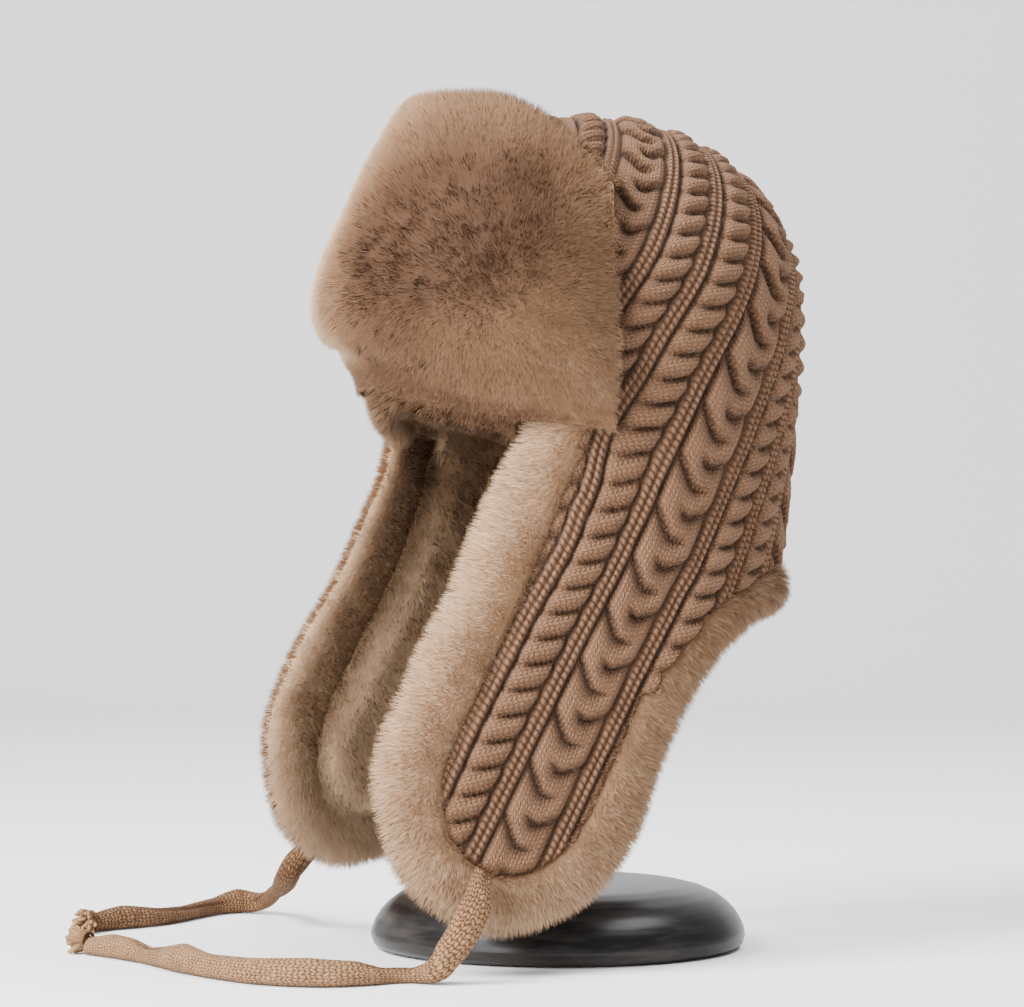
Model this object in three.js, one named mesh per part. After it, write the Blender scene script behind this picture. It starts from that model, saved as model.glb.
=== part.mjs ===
// A knit trapper hat on a plain turned stand. Two knit panels make the shell, each a side of the
// crown with its ear flap. Fur lines the panels, rolls round their edges and stands up over the
// forehead as a visor. A flat tie cord hangs from each flap and lies on the table.
// Millimetres, +Z up. The hat faces -Y and the wearer's left ear is at +X. The origin is on the
// table, under the middle of the hat and stand measured without the cords.

import * as THREE from 'three';
import { mergeVertices } from 'three/addons/utils/BufferGeometryUtils.js';

// Crown: an ellipsoid dome on an upright elliptical wall.
const crownHalfWidth = 95;
const crownHalfDepth = 96.5;
const crownCentreY = 19.7;
const domeStart = 290;
const domeRise = 85;
const wallArc = 96.5;
const domeArc = 90;
const napeTuck = { from: 285, to: 165, depth: 12 };
const quarterRound = wallArc * Math.PI / 2;
const domeTop = domeStart + domeArc * Math.PI / 2;

// Ear flaps: below the ear line the wall straightens, reaches forward and curls in.
const earLine = 235;
const flapLine = 190;
const flapRun = 0.985;
const flapCurl = 29;
const flapReachTop = { height: 231, reach: 69 };
const flapReachLow = { height: 86, reach: 140 };
const flareStart = 150;
const flareSpan = 120;
const flapFlare = 8;

// The right flap hangs a little higher and further back than the left one.
const rightLift = 14 / 220;
const rightBack = 6;
const rightBackSpan = 90;
const rightFade = 60;

// Knit columns lean back by this much for each unit of height.
const columnLean = 0.53;
const leanLength = Math.hypot(1, columnLean);
const columnHeight = 282;

// Knit pattern across the columns: two ropes and one wave cable in each repeat.
const patternRepeat = 80;
const ribs = [
  { across: -14, halfWidth: 8, raise: 2.6 },
  { across: 10, halfWidth: 8, raise: 2.6 },
  { across: 38.5, halfWidth: 12, raise: 2.4 },
];

// Edges of a knit panel, measured across and along its columns.
const frontLine = -9;
const frontBulge = { at: -67, size: -6.5, length: 35, fade: 30 };
const backLine = 62;
const tipStart = -205;
const tipDrop = 50;
const browCentre = -121.3;
const waistRows = [
  { across: browCentre, along: -94.8 },
  { across: -61.8, along: -75.7 },
  { across: frontLine, along: -67 },
  { across: backLine, along: -148 },
  { across: 67.5, along: -128 },
  { across: 78, along: -104 },
  { across: 96, along: -82.5 },
  { across: 116, along: -66.5 },
  { across: 138, along: -52.3 },
  { across: 160, along: -37.9 },
  { across: 183.5, along: -22.7 },
];

// Layers, measured in from the base surface.
const knitDepth = 3.5;
const liningTop = 6.2;
const liningDepth = 12;
const seamGap = 0.3;
const jointGap = 1;
const lockDepth = 1.8;

// Columns of the panel's mesh, and its rows above and below the ear line.
const panelColumns = [
  -203, -185, -160, -136, -120, -104, -88, -72, -56, -40, -28, -14, frontLine,
  1, 10, 18, 27, 38.5, 50, backLine, 70, 78, 88, 98, 108, 120, 132, 144, 156, 168, 176, 183.4,
];
const napeCorner = 125;
const upperRows = 10;
const flapRows = 6;

// Fur edge round the flaps and nape, by the share of its run from brow to back seam.
const trimStart = -73;
const trimThickness = 18;
const trimSink = 4;
const trimSides = 10;
const trimSteps = 46;
const trimLockFrom = -0.4;
const frontEdgePoints = 8;
const tipEdgePoints = 12;
const backEdgeRise = 28;
const trimWidths = [
  { run: 0, width: 23 },
  { run: 0.1, width: 27 },
  { run: 0.33, width: 27 },
  { run: 0.45, width: 22 },
  { run: 0.6, width: 19 },
  { run: 0.8, width: 16 },
  { run: 1, width: 18 },
];

// Fur roll under the brow, where the lining turns out to the visor.
const browRollDrop = 6;
const browRollDepth = 8;
const browRollSink = 10;
const browRollEnd = -56;
const browRollSteps = 20;
const browLockBelow = 0.3;

// Visor: its section by height, and how it changes from the middle to the ends.
const visorEnd = -32;
const visorBottom = 252;
const visorBottomDrop = 11;
const visorTop = 387;
const visorTopDrop = 28;
const visorClearance = 4.8;
const visorThickness = 36;
const visorLeastWall = 1.2;
const visorEndThin = 0.96;
const visorEndDrop = 22;
const visorPowers = { bottom: 1.5, top: 3, end: 6 };
const visorRings = 30;
const visorSection = [
  { rise: 0, out: 6 },
  { rise: 0.05, out: 8 },
  { rise: 0.1, out: 13.5 },
  { rise: 0.14, out: 20 },
  { rise: 0.19, out: 25.5 },
  { rise: 0.26, out: 29.5 },
  { rise: 0.34, out: 29.5 },
  { rise: 0.46, out: 24.5 },
  { rise: 0.58, out: 17.5 },
  { rise: 0.7, out: 10 },
  { rise: 0.82, out: 1.5 },
  { rise: 0.93, out: -7 },
  { rise: 0.985, out: -13 },
  { rise: 1, out: -20 },
  { rise: 0.96, out: -28 },
];
const visorBackRises = [0.86, 0.72, 0.55, 0.38, 0.2, 0.04];

// Stand: a turned disc and a plain post with a domed cap inside the crown.
const standY = 5.7;
const standProfile = [
  { radius: 79, height: 0 },
  { radius: 84, height: 2.5 },
  { radius: 85, height: 7 },
  { radius: 82.5, height: 14 },
  { radius: 77.5, height: 20.5 },
  { radius: 70, height: 25.5 },
  { radius: 58, height: 28.6 },
  { radius: 30, height: 30 },
];
const standTop = 30.2;
const standSides = 40;
const postRadius = 9;
const postFoot = 30.6;
const shaftTop = 300;
const capProfile = [
  { radius: 16, height: 304 },
  { radius: 46, height: 314 },
  { radius: 52, height: 321 },
  { radius: 50, height: 330 },
  { radius: 40, height: 341 },
  { radius: 22, height: 350 },
];
const capTop = 353;
const postSides = 24;

// Tie cords: flattened knit tubes. Each row is a point of the middle of the cord.
const cordWidth = 12;
const cordThickness = 8;
const cordSides = 10;
const cordStep = 9;
const cordTurnShare = 0.22;
const cordFace = { x: 0.62, y: -0.3, z: 0.72 };
const leftCordRoute = [
  { x: 101, y: -76, z: 46 },
  { x: 105.5, y: -84, z: 33 },
  { x: 106.5, y: -91.5, z: 20.5 },
  { x: 102, y: -98, z: 11 },
  { x: 95, y: -104, z: 6.8 },
  { x: 90, y: -113, z: 5.6 },
  { x: 91, y: -128, z: 5.6 },
  { x: 88, y: -145, z: 5.6 },
  { x: 78, y: -159, z: 5.6 },
  { x: 62, y: -170, z: 5.6 },
  { x: 39, y: -177.5, z: 5.6 },
  { x: 15, y: -182, z: 5.8 },
  { x: -4, y: -184, z: 5.9 },
  { x: -22, y: -186.5, z: 5.8 },
  { x: -46, y: -192, z: 5.6 },
  { x: -62, y: -198.5, z: 5.6 },
];
const rightCordRoute = [
  { x: -101, y: -71, z: 45 },
  { x: -104.5, y: -77, z: 36 },
  { x: -111, y: -80, z: 28.5 },
  { x: -122, y: -77.5, z: 23.5 },
  { x: -140, y: -72, z: 18.5 },
  { x: -160, y: -67, z: 13.5 },
  { x: -178, y: -67, z: 9.5 },
  { x: -188, y: -74, z: 7 },
  { x: -188, y: -86, z: 5.8 },
  { x: -178, y: -101, z: 5.6 },
  { x: -164, y: -117, z: 5.6 },
  { x: -154, y: -133, z: 5.6 },
  { x: -150, y: -147, z: 5.6 },
  { x: -146.5, y: -159, z: 5.6 },
  { x: -141, y: -169.5, z: 5.6 },
];

// Each cord is bound off at its end, and the yarn past the binding opens as a tuft.
const tuftProfile = [
  { radius: 4.6, height: 0 },
  { radius: 3.8, height: 2.2 },
  { radius: 4.8, height: 4 },
  { radius: 7, height: 8 },
  { radius: 7.4, height: 12 },
  { radius: 5.6, height: 15.4 },
];
const tuftLength = 16.4;
const tuftSides = 12;
const tuftLobe = 0.12;
const tuftGap = 0.4;
const tuftHeight = 8.6;

const knitColor = 0x8f7358;
const furColor = 0xa98c6d;
const cordColor = 0xb4936c;
const standColor = 0x2a2829;

// Smooth step from 0 at `from` to 1 at `to`.
function ease(from, to, value) {
  const t = THREE.MathUtils.clamp((value - from) / (to - from), 0, 1);
  return t * t * (3 - 2 * t);
}

// Straight interpolation in a table, between the rows round a key.
function tableValue(rows, key, name, value) {
  let k = 1;
  while (k < rows.length - 1 && value > rows[k][key]) {
    k += 1;
  }
  const a = rows[k - 1];
  const b = rows[k];
  const t = THREE.MathUtils.clamp((value - a[key]) / (b[key] - a[key]), 0, 1);
  return a[name] + t * (b[name] - a[name]);
}

// Point of the hat's base surface. `round` is arc length round the crown from its widest point,
// positive to the back. `up` is height on the wall and goes on as arc length over the dome.
function basePoint(side, round, up) {
  const sinRound = Math.sin(round / wallArc);
  const tilt = Math.max(0, up - domeStart) / domeArc;
  const sinUp = Math.sin(tilt);
  let x = crownHalfWidth * Math.cos(round / wallArc) * Math.cos(tilt);
  const tuck = sinRound > 0 ? napeTuck.depth * ease(napeTuck.from, napeTuck.to, up) : 0;
  let y = (crownHalfDepth * Math.sqrt(1 - sinUp * sinUp / 2) - tuck) * sinRound;
  let z = Math.min(up, domeStart) + domeRise * sinUp * Math.sqrt(1 - sinRound * sinRound / 2);
  const flap = ease(earLine, flapLine, up);
  if (round < 0 && flap > 0) {
    const reach = -round * flapRun;
    const widen = ease(flapReachTop.height, flapReachLow.height, up);
    const span = THREE.MathUtils.lerp(flapReachTop.reach, flapReachLow.reach, widen);
    const curled = crownHalfWidth - flapCurl * (reach / span) ** 2;
    x = THREE.MathUtils.lerp(x, curled, flap);
    y = THREE.MathUtils.lerp(y, -reach, flap);
  }
  x += flapFlare * (Math.max(0, flareStart - z) / flareSpan) ** 2;
  if (side < 0) {
    const hang = Math.max(0, earLine - z) * ease(rightFade, -rightFade, round);
    z += hang * rightLift;
    y += rightBack * ease(0, rightBackSpan, hang);
  }
  return new THREE.Vector3(side * x, y + crownCentreY, z);
}

// Outward normal of the base surface.
function baseNormal(side, round, up) {
  if (up >= domeStart) {
    const p = basePoint(side, round, up);
    const x = p.x / crownHalfWidth ** 2;
    const y = (p.y - crownCentreY) / crownHalfDepth ** 2;
    const z = (p.z - domeStart) / domeRise ** 2;
    return new THREE.Vector3(x, y, z).normalize();
  }
  const step = 0.5;
  const alongRound = basePoint(side, round + step, up).sub(basePoint(side, round - step, up));
  const alongUp = basePoint(side, round, up + step).sub(basePoint(side, round, up - step));
  return alongRound.cross(alongUp).multiplyScalar(side).normalize();
}

// Place on the base surface of a point given across and along the knit columns.
function columnPlace(across, along) {
  return {
    round: (across + columnLean * along) / leanLength,
    up: columnHeight + (along - columnLean * across) / leanLength,
  };
}

// Point at a height over the base surface, given across and along the columns.
function panelPoint(side, across, along, height) {
  const place = columnPlace(across, along);
  const normal = baseNormal(side, place.round, place.up);
  const point = basePoint(side, place.round, place.up).addScaledVector(normal, height);
  point.x = side * Math.max(side * point.x, seamGap / 2);
  return point;
}

// Where a column starts: on the middle seam over the dome, or on the seam down the back.
function seamAlong(across) {
  const rise = domeTop - columnHeight;
  const roundAtTop = across * leanLength + columnLean * rise;
  if (roundAtTop <= quarterRound) {
    return (columnLean * roundAtTop + rise) / leanLength;
  }
  const riseAtBack = (quarterRound - across * leanLength) / columnLean;
  return (columnLean * quarterRound + riseAtBack) / leanLength;
}

// Where a column leaves the crown: at the brow, on the ear line or at the nape.
function waistAlong(across) {
  if (across < browCentre) {
    const rise = (-quarterRound - across * leanLength) / columnLean;
    return (-columnLean * quarterRound + rise) / leanLength;
  }
  return tableValue(waistRows, 'across', 'along', across);
}

// Where a column ends at the flap's rounded tip: a half ellipse.
function tipAlong(across) {
  const middle = (frontLine + backLine) / 2;
  const share = (across - middle) / (backLine - middle);
  return tipStart - tipDrop * Math.sqrt(Math.max(0, 1 - share * share));
}

// Columns near the flap's front edge bow forward a little beside the visor's corner.
function bowed(across, along) {
  const near = Math.max(0, 1 - Math.abs(across - frontLine) / frontBulge.fade);
  const share = (along - frontBulge.at) / frontBulge.length;
  return across + frontBulge.size * near * Math.exp(-share * share);
}

// Raised ribs of the cables, as a height for a distance across the columns.
function ribHeight(across) {
  let height = 0;
  for (const rib of ribs) {
    const turns = Math.round((across - rib.across) / patternRepeat);
    const distance = Math.abs(across - rib.across - turns * patternRepeat);
    if (distance < rib.halfWidth) {
      height += rib.raise * Math.cos(distance / rib.halfWidth * Math.PI / 2);
    }
  }
  return height;
}

// Closed geometry from points and triangles, with equal points merged and flat ones dropped.
function closedGeometry(points, triangles) {
  const raw = new THREE.BufferGeometry().setFromPoints(points);
  raw.setIndex(triangles.flat());
  const merged = mergeVertices(raw, 1e-3);
  const index = merged.getIndex().array;
  const kept = [];
  for (let k = 0; k < index.length; k += 3) {
    const [a, b, c] = index.slice(k, k + 3);
    if (a !== b && b !== c && c !== a) {
      kept.push(a, b, c);
    }
  }
  merged.setIndex(kept);
  merged.computeVertexNormals();
  return merged;
}

// A sheet with two faces: `outer` and `inner` points share one list of triangles, and a rim
// closes the edges that only one triangle has.
function thickSheet(outer, inner, triangles) {
  const count = outer.length;
  const single = new Map();
  for (const [a, b, c] of triangles) {
    for (const [from, to] of [[a, b], [b, c], [c, a]]) {
      if (!single.delete(`${to},${from}`)) {
        single.set(`${from},${to}`, [from, to]);
      }
    }
  }
  const all = triangles.slice();
  for (const [a, b, c] of triangles) {
    all.push([a + count, c + count, b + count]);
  }
  for (const [from, to] of single.values()) {
    all.push([to, from, from + count], [to, from + count, to + count]);
  }
  return closedGeometry(outer.concat(inner), all);
}

// One half of the hat as a sheet. Rows run from the middle seam to the waist on all columns,
// and from there to the tip on the flap's own columns only.
function panelSheet(side, columns, upper, lower, outerHeight, innerHeight) {
  const outer = [];
  const inner = [];
  const ids = new Map();
  columns.forEach((column, i) => {
    const onFlap = column >= frontLine && column <= backLine;
    const rows = onFlap ? upper + lower : upper;
    const seam = seamAlong(column);
    const waist = waistAlong(column);
    for (let j = 0; j <= rows; j += 1) {
      const along = j <= upper
        ? THREE.MathUtils.lerp(seam, waist, j / upper)
        : THREE.MathUtils.lerp(waist, tipAlong(column), (j - upper) / lower);
      const across = bowed(column, along);
      ids.set(`${i},${j}`, outer.length);
      outer.push(panelPoint(side, across, along, outerHeight(column, i, j)));
      inner.push(panelPoint(side, across, along, innerHeight(column, i, j)));
    }
  });
  const triangles = [];
  for (let i = 0; i < columns.length - 1; i += 1) {
    for (let j = 0; j < upper + lower; j += 1) {
      const a = ids.get(`${i},${j}`);
      const b = ids.get(`${i + 1},${j}`);
      const c = ids.get(`${i + 1},${j + 1}`);
      const d = ids.get(`${i},${j + 1}`);
      if (c !== undefined && d !== undefined) {
        triangles.push(side > 0 ? [a, d, c] : [a, c, d]);
        triangles.push(side > 0 ? [a, c, b] : [a, b, c]);
      }
    }
  }
  return thickSheet(outer, inner, triangles);
}

function knitPanel(side) {
  return panelSheet(side, panelColumns, upperRows, flapRows, ribHeight, () => -knitDepth);
}

// The lining uses every second row, and every second column except round the nape's corner.
// Its pile stands in staggered locks.
function furLining(side) {
  const corner = (column) => column === frontLine || (column >= backLine && column < napeCorner);
  const columns = panelColumns.filter((column, i) => i % 2 === 0 || corner(column));
  const lock = (column, i, j) => -liningDepth - lockDepth * ((i + j) % 2);
  return panelSheet(side, columns, upperRows / 2, flapRows / 2, () => -liningTop, lock);
}

// Closed tube through rings of points, with a fan over each end.
function ringTube(rings) {
  const sides = rings[0].length;
  const points = rings.flat();
  const triangles = [];
  for (let i = 0; i < rings.length - 1; i += 1) {
    for (let k = 0; k < sides; k += 1) {
      const a = i * sides + k;
      const b = i * sides + (k + 1) % sides;
      triangles.push([a, b + sides, b], [a, a + sides, b + sides]);
    }
  }
  for (const start of [0, (rings.length - 1) * sides]) {
    const middle = new THREE.Vector3();
    for (let k = 0; k < sides; k += 1) {
      middle.addScaledVector(points[start + k], 1 / sides);
    }
    points.push(middle);
    for (let k = 0; k < sides; k += 1) {
      const a = start + k;
      const b = start + (k + 1) % sides;
      triangles.push(start > 0 ? [b, a, points.length - 1] : [a, b, points.length - 1]);
    }
  }
  return closedGeometry(points, triangles);
}

// The knit panel's edge from the brow down the flap's front, round its tip, up its back and
// along the nape, as points across and along the columns.
function panelEdge() {
  const edge = [];
  for (let k = 0; k <= frontEdgePoints; k += 1) {
    const along = THREE.MathUtils.lerp(trimStart, tipStart, k / frontEdgePoints);
    edge.push(new THREE.Vector2(bowed(frontLine, along), along));
  }
  const middle = (frontLine + backLine) / 2;
  for (let k = 1; k < tipEdgePoints; k += 1) {
    const across = middle - (backLine - middle) * Math.cos(k / tipEdgePoints * Math.PI);
    edge.push(new THREE.Vector2(across, tipAlong(across)));
  }
  edge.push(new THREE.Vector2(backLine, tipStart));
  edge.push(new THREE.Vector2(backLine, tipStart + backEdgeRise));
  for (const row of waistRows) {
    if (row.across >= backLine) {
      edge.push(new THREE.Vector2(row.across, row.along));
    }
  }
  return new THREE.SplineCurve(edge);
}

// Point inside the fur's thickness, given across and along the columns, and the normal there.
function sunkPoint(side, across, along, sink) {
  const place = columnPlace(across, along);
  const normal = baseNormal(side, place.round, place.up);
  const point = basePoint(side, place.round, place.up).addScaledVector(normal, -sink);
  return { point, normal };
}

// A roll of fur with an elliptical section that runs along the panel's edge, its locks standing
// out on the side away from the knit.
function furTrim(side) {
  const edge = panelEdge();
  const rings = [];
  for (let i = 0; i <= trimSteps; i += 1) {
    const run = i / trimSteps;
    const heading = edge.getTangentAt(run);
    const outward = new THREE.Vector2(heading.y, -heading.x);
    if (i === trimSteps) {
      outward.set(columnLean, -1).normalize();
    }
    const half = tableValue(trimWidths, 'run', 'width', run) / 2;
    const centre = edge.getPointAt(run).addScaledVector(outward, half + jointGap);
    const ahead = centre.clone().add(outward);
    const { point: middle, normal } = sunkPoint(side, centre.x, centre.y, trimSink);
    const out = sunkPoint(side, ahead.x, ahead.y, trimSink).point.sub(middle);
    out.addScaledVector(normal, -out.dot(normal)).normalize();
    const ring = [];
    for (let k = 0; k < trimSides; k += 1) {
      const angle = side * (k + 0.5) / trimSides * Math.PI * 2;
      const hasLock = Math.cos(angle) > trimLockFrom && i > 0 && i < trimSteps;
      const lock = hasLock ? lockDepth * ((i + k) % 2) : 0;
      const point = middle.clone();
      point.addScaledVector(out, (half + lock) * Math.cos(angle));
      point.addScaledVector(normal, (trimThickness / 2 + lock) * Math.sin(angle));
      point.x = side * Math.max(side * point.x, seamGap / 2);
      ring.push(point);
    }
    rings.push(ring);
  }
  return ringTube(rings);
}

// The brow roll follows the forehead edge from one temple to the other.
function browRoll() {
  const rings = [];
  for (let i = 0; i <= browRollSteps; i += 1) {
    const share = i / browRollSteps * 2 - 1;
    const side = share < 0 ? -1 : 1;
    const across = THREE.MathUtils.lerp(browCentre, browRollEnd, Math.abs(share));
    const { point: middle, normal } = sunkPoint(side, across, waistAlong(across), browRollSink);
    middle.z -= browRollDrop + jointGap;
    const ring = [];
    for (let k = 0; k < trimSides; k += 1) {
      const angle = k / trimSides * Math.PI * 2;
      const lock = Math.sin(angle) < browLockBelow ? lockDepth * ((i + k) % 2) : 0;
      const point = middle.clone().addScaledVector(normal, browRollDepth * Math.cos(angle));
      point.z += (browRollDrop + lock) * Math.sin(angle);
      ring.push(point);
    }
    rings.push(ring);
  }
  return ringTube(rings);
}

// The visor is a thick fur pad round the front of the crown. Its back follows the crown as far
// as the crown reaches, and stands free above.
function visor() {
  const rings = [];
  for (let i = 0; i <= visorRings; i += 1) {
    const share = Math.sin((i / visorRings - 0.5) * Math.PI);
    const spread = Math.abs(share);
    const side = share < 0 ? -1 : 1;
    const round = THREE.MathUtils.lerp(-quarterRound, visorEnd, spread);
    const wall = basePoint(side, round, domeStart);
    const normal = baseNormal(side, round, domeStart);
    const radius = Math.hypot(wall.x, wall.y - crownCentreY);
    const fullness = Math.sqrt(1 - visorEndThin * spread ** visorPowers.end);
    const bottom = visorBottom - visorBottomDrop * spread ** visorPowers.bottom;
    const drop = visorTopDrop * spread ** visorPowers.top + visorEndDrop * (1 - fullness);
    const crownOut = (height) => {
      const above = Math.max(0, height - domeStart) / domeRise;
      return radius * (Math.sqrt(Math.max(0, 1 - above * above)) - 1) + visorClearance;
    };
    const place = (rise, outAt) => {
      const height = THREE.MathUtils.lerp(bottom, visorTop - drop, rise);
      const point = wall.clone().addScaledVector(normal, outAt(crownOut(height)));
      point.z = height;
      return point;
    };
    const front = visorSection.map((row, k) => {
      const lock = lockDepth * ((i + k) % 2) * fullness;
      const out = visorClearance + (row.out - visorClearance) * fullness + lock;
      return place(row.rise, (crown) => Math.max(out, crown + visorLeastWall));
    });
    const back = visorBackRises.map((rise) => {
      const out = tableValue(visorSection.slice(0, -1), 'rise', 'out', rise) - visorThickness;
      return place(rise, (crown) => Math.max(crown, out));
    });
    rings.push(front.concat(back));
  }
  return ringTube(rings);
}

// Turned solid about the stand's axis, closed on the axis at both ends.
function turned(profile, foot, top, sides) {
  const points = [new THREE.Vector2(0, foot)];
  for (const row of profile) {
    points.push(new THREE.Vector2(row.radius, row.height));
  }
  points.push(new THREE.Vector2(0, top));
  const geometry = new THREE.LatheGeometry(points, sides);
  geometry.rotateX(Math.PI / 2);
  return geometry;
}

// A route whose flat side turns from the flap, at its start, to the table.
class FlatRoute extends THREE.CatmullRomCurve3 {
  constructor(points, startNormal) {
    super(points, false, 'centripetal');
    this.startNormal = startNormal;
  }

  computeFrenetFrames(steps) {
    const frames = { tangents: [], normals: [], binormals: [] };
    for (let i = 0; i <= steps; i += 1) {
      const run = i / steps;
      const tangent = this.getTangentAt(run);
      const face = new THREE.Vector3(cordFace.x, cordFace.y, cordFace.z);
      face.lerp(this.startNormal, 1 - ease(0, cordTurnShare, run));
      const across = new THREE.Vector3().crossVectors(tangent, face).normalize();
      frames.tangents.push(tangent);
      frames.normals.push(across);
      frames.binormals.push(new THREE.Vector3().crossVectors(tangent, across).normalize());
    }
    return frames;
  }
}

function routeCurve(rows, side) {
  const points = rows.map((row) => new THREE.Vector3(row.x, row.y, row.z));
  return new FlatRoute(points, new THREE.Vector3(side, 0, 0));
}

function cord(rows, side) {
  const route = routeCurve(rows, side);
  const outline = [];
  for (let k = 0; k < cordSides; k += 1) {
    const angle = k / cordSides * Math.PI * 2;
    const x = cordWidth / 2 * Math.cos(angle);
    outline.push(new THREE.Vector2(x, cordThickness / 2 * Math.sin(angle)));
  }
  return new THREE.ExtrudeGeometry(new THREE.Shape(outline), {
    steps: Math.round(route.getLength() / cordStep),
    extrudePath: route,
  });
}

// The bound end of a cord, with its tuft in lobes, lying level in line with the cord.
function cordEnd(rows, side) {
  const route = routeCurve(rows, side);
  const heading = route.getTangentAt(1).setZ(0).normalize();
  const geometry = turned(tuftProfile, 0, tuftLength, tuftSides);
  const positions = geometry.getAttribute('position');
  for (let k = 0; k < positions.count; k += 1) {
    const x = positions.getX(k);
    const y = positions.getY(k);
    const turns = Math.atan2(y, x) / (Math.PI * 2) * tuftSides;
    const scale = 1 - tuftLobe * Math.abs(Math.round(turns) % 2);
    positions.setXYZ(k, x * scale, y * scale, positions.getZ(k));
  }
  geometry.rotateY(Math.PI / 2);
  geometry.rotateZ(Math.atan2(heading.y, heading.x));
  const end = route.getPointAt(1).addScaledVector(heading, tuftGap);
  geometry.translate(end.x, end.y, tuftHeight);
  return geometry;
}

const knitMaterial = { color: knitColor, roughness: 0.95, metalness: 0 };
const furMaterial = { color: furColor, roughness: 1, metalness: 0 };
const cordMaterial = { color: cordColor, roughness: 0.95, metalness: 0 };
const standMaterial = { color: standColor, roughness: 0.38, metalness: 0 };

const hatOnStand = new THREE.Group();

function addPiece(name, geometry, look, y = 0) {
  const piece = new THREE.Mesh(geometry, new THREE.MeshStandardMaterial(look));
  piece.name = name;
  piece.position.y = y;
  hatOnStand.add(piece);
}

const standBase = turned(standProfile, 0, standTop, standSides);
const postShaft = [{ radius: postRadius, height: postFoot }, { radius: postRadius, height: shaftTop }];
const standPost = turned(postShaft.concat(capProfile), postFoot, capTop, postSides);
addPiece('stand_base', standBase, standMaterial, standY);
addPiece('stand_post', standPost, standMaterial, standY);
for (const [side, name] of [[1, 'left'], [-1, 'right']]) {
  const route = side > 0 ? leftCordRoute : rightCordRoute;
  addPiece(`knit_panel_${name}`, knitPanel(side), knitMaterial);
  addPiece(`fur_lining_${name}`, furLining(side), furMaterial);
  addPiece(`fur_trim_${name}`, furTrim(side), furMaterial);
  addPiece(`tie_cord_${name}`, cord(route, side), cordMaterial);
  addPiece(`cord_end_${name}`, cordEnd(route, side), cordMaterial);
}
addPiece('brow_roll', browRoll(), furMaterial);
addPiece('visor', visor(), furMaterial);

export default hatOnStand;
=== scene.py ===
# Looks of a knit trapper hat on its stand: cable knit, deep fur, tie cords and a satin disc.
import math

import bpy
import numpy as np
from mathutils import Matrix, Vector


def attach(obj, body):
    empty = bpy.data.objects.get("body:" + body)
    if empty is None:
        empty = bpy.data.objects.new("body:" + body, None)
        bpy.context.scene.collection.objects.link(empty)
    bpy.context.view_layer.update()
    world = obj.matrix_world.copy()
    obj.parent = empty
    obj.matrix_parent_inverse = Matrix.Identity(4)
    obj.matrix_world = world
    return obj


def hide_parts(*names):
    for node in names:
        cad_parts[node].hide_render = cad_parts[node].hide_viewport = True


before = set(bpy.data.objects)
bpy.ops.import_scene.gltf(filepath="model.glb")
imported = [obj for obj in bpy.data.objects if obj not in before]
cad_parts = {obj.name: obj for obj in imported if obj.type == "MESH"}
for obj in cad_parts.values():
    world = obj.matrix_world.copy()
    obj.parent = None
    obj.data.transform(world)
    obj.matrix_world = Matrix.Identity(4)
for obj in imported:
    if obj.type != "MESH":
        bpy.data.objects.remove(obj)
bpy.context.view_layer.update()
mm = 0.001


# Camera: the photo's place, between the hat's front and its left side, in millimetres.
camera = {
    "azimuth": 64.0,         # degrees round from the front
    "distance": 1800.0,      # from the stand's middle
    "height": 215.0,
    "standY": 5.7,
    "turn": 0.6655,          # degrees to the left of the stand's middle
    "dip": 0.4357,           # degrees below level
    "lens": 139.22,
    "sensor": 36.0,
    "near": 50.0,
    "far": 30000.0,
}


def placeCamera(c):
    # The eye is on a circle round the stand, and looks a little left of its middle.
    a = math.radians(c["azimuth"])
    eye = Vector((math.sin(a) * c["distance"], -math.cos(a) * c["distance"] + c["standY"], c["height"]))
    turn = math.radians(c["turn"])
    flat = Vector((-math.sin(a), math.cos(a), 0.0))
    left = Vector((-flat.y, flat.x, 0.0))
    ahead = flat * math.cos(turn) + left * math.sin(turn)
    dip = math.radians(c["dip"])
    look = ahead * math.cos(dip) - Vector((0.0, 0.0, 1.0)) * math.sin(dip)
    data = bpy.data.cameras.new("camera")
    data.lens = c["lens"]
    data.sensor_width = c["sensor"]
    data.clip_start = c["near"] * mm
    data.clip_end = c["far"] * mm
    viewer = bpy.data.objects.new("camera", data)
    viewer.location = eye * mm
    viewer.rotation_euler = look.to_track_quat("-Z", "Y").to_euler()
    bpy.context.scene.collection.objects.link(viewer)
    bpy.context.scene.camera = viewer


placeCamera(camera)
print("camera placed")


# Helpers for meshes: points in millimetres and whole arrays of faces.
upward = np.array([0.0, 0.0, 1.0])


def makePiece(name, points, faces, material, attributes=None, uvs=None, normals=None):
    mesh = bpy.data.meshes.new(name)
    corners = faces.shape[1]
    mesh.vertices.add(len(points))
    mesh.vertices.foreach_set("co", (points * mm).astype(np.float32).ravel())
    mesh.loops.add(faces.size)
    mesh.loops.foreach_set("vertex_index", faces.astype(np.int32).ravel())
    mesh.polygons.add(len(faces))
    mesh.polygons.foreach_set("loop_start", np.arange(0, faces.size, corners, dtype=np.int32))
    mesh.update(calc_edges=True)
    mesh.polygons.foreach_set("use_smooth", np.ones(len(faces), dtype=bool))
    for key, values in (attributes or {}).items():
        layer = mesh.attributes.new(key, "FLOAT", "POINT")
        layer.data.foreach_set("value", values.astype(np.float32))
    if uvs is not None:
        layer = mesh.uv_layers.new(name="strands")
        layer.data.foreach_set("uv", uvs[faces.ravel()].astype(np.float32).ravel())
    mesh.validate()
    if normals is not None:
        mesh.normals_split_custom_set_from_vertices(normals.astype(np.float32))
    mesh.materials.append(material)
    piece = bpy.data.objects.new(name, mesh)
    bpy.context.scene.collection.objects.link(piece)
    return piece


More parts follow.
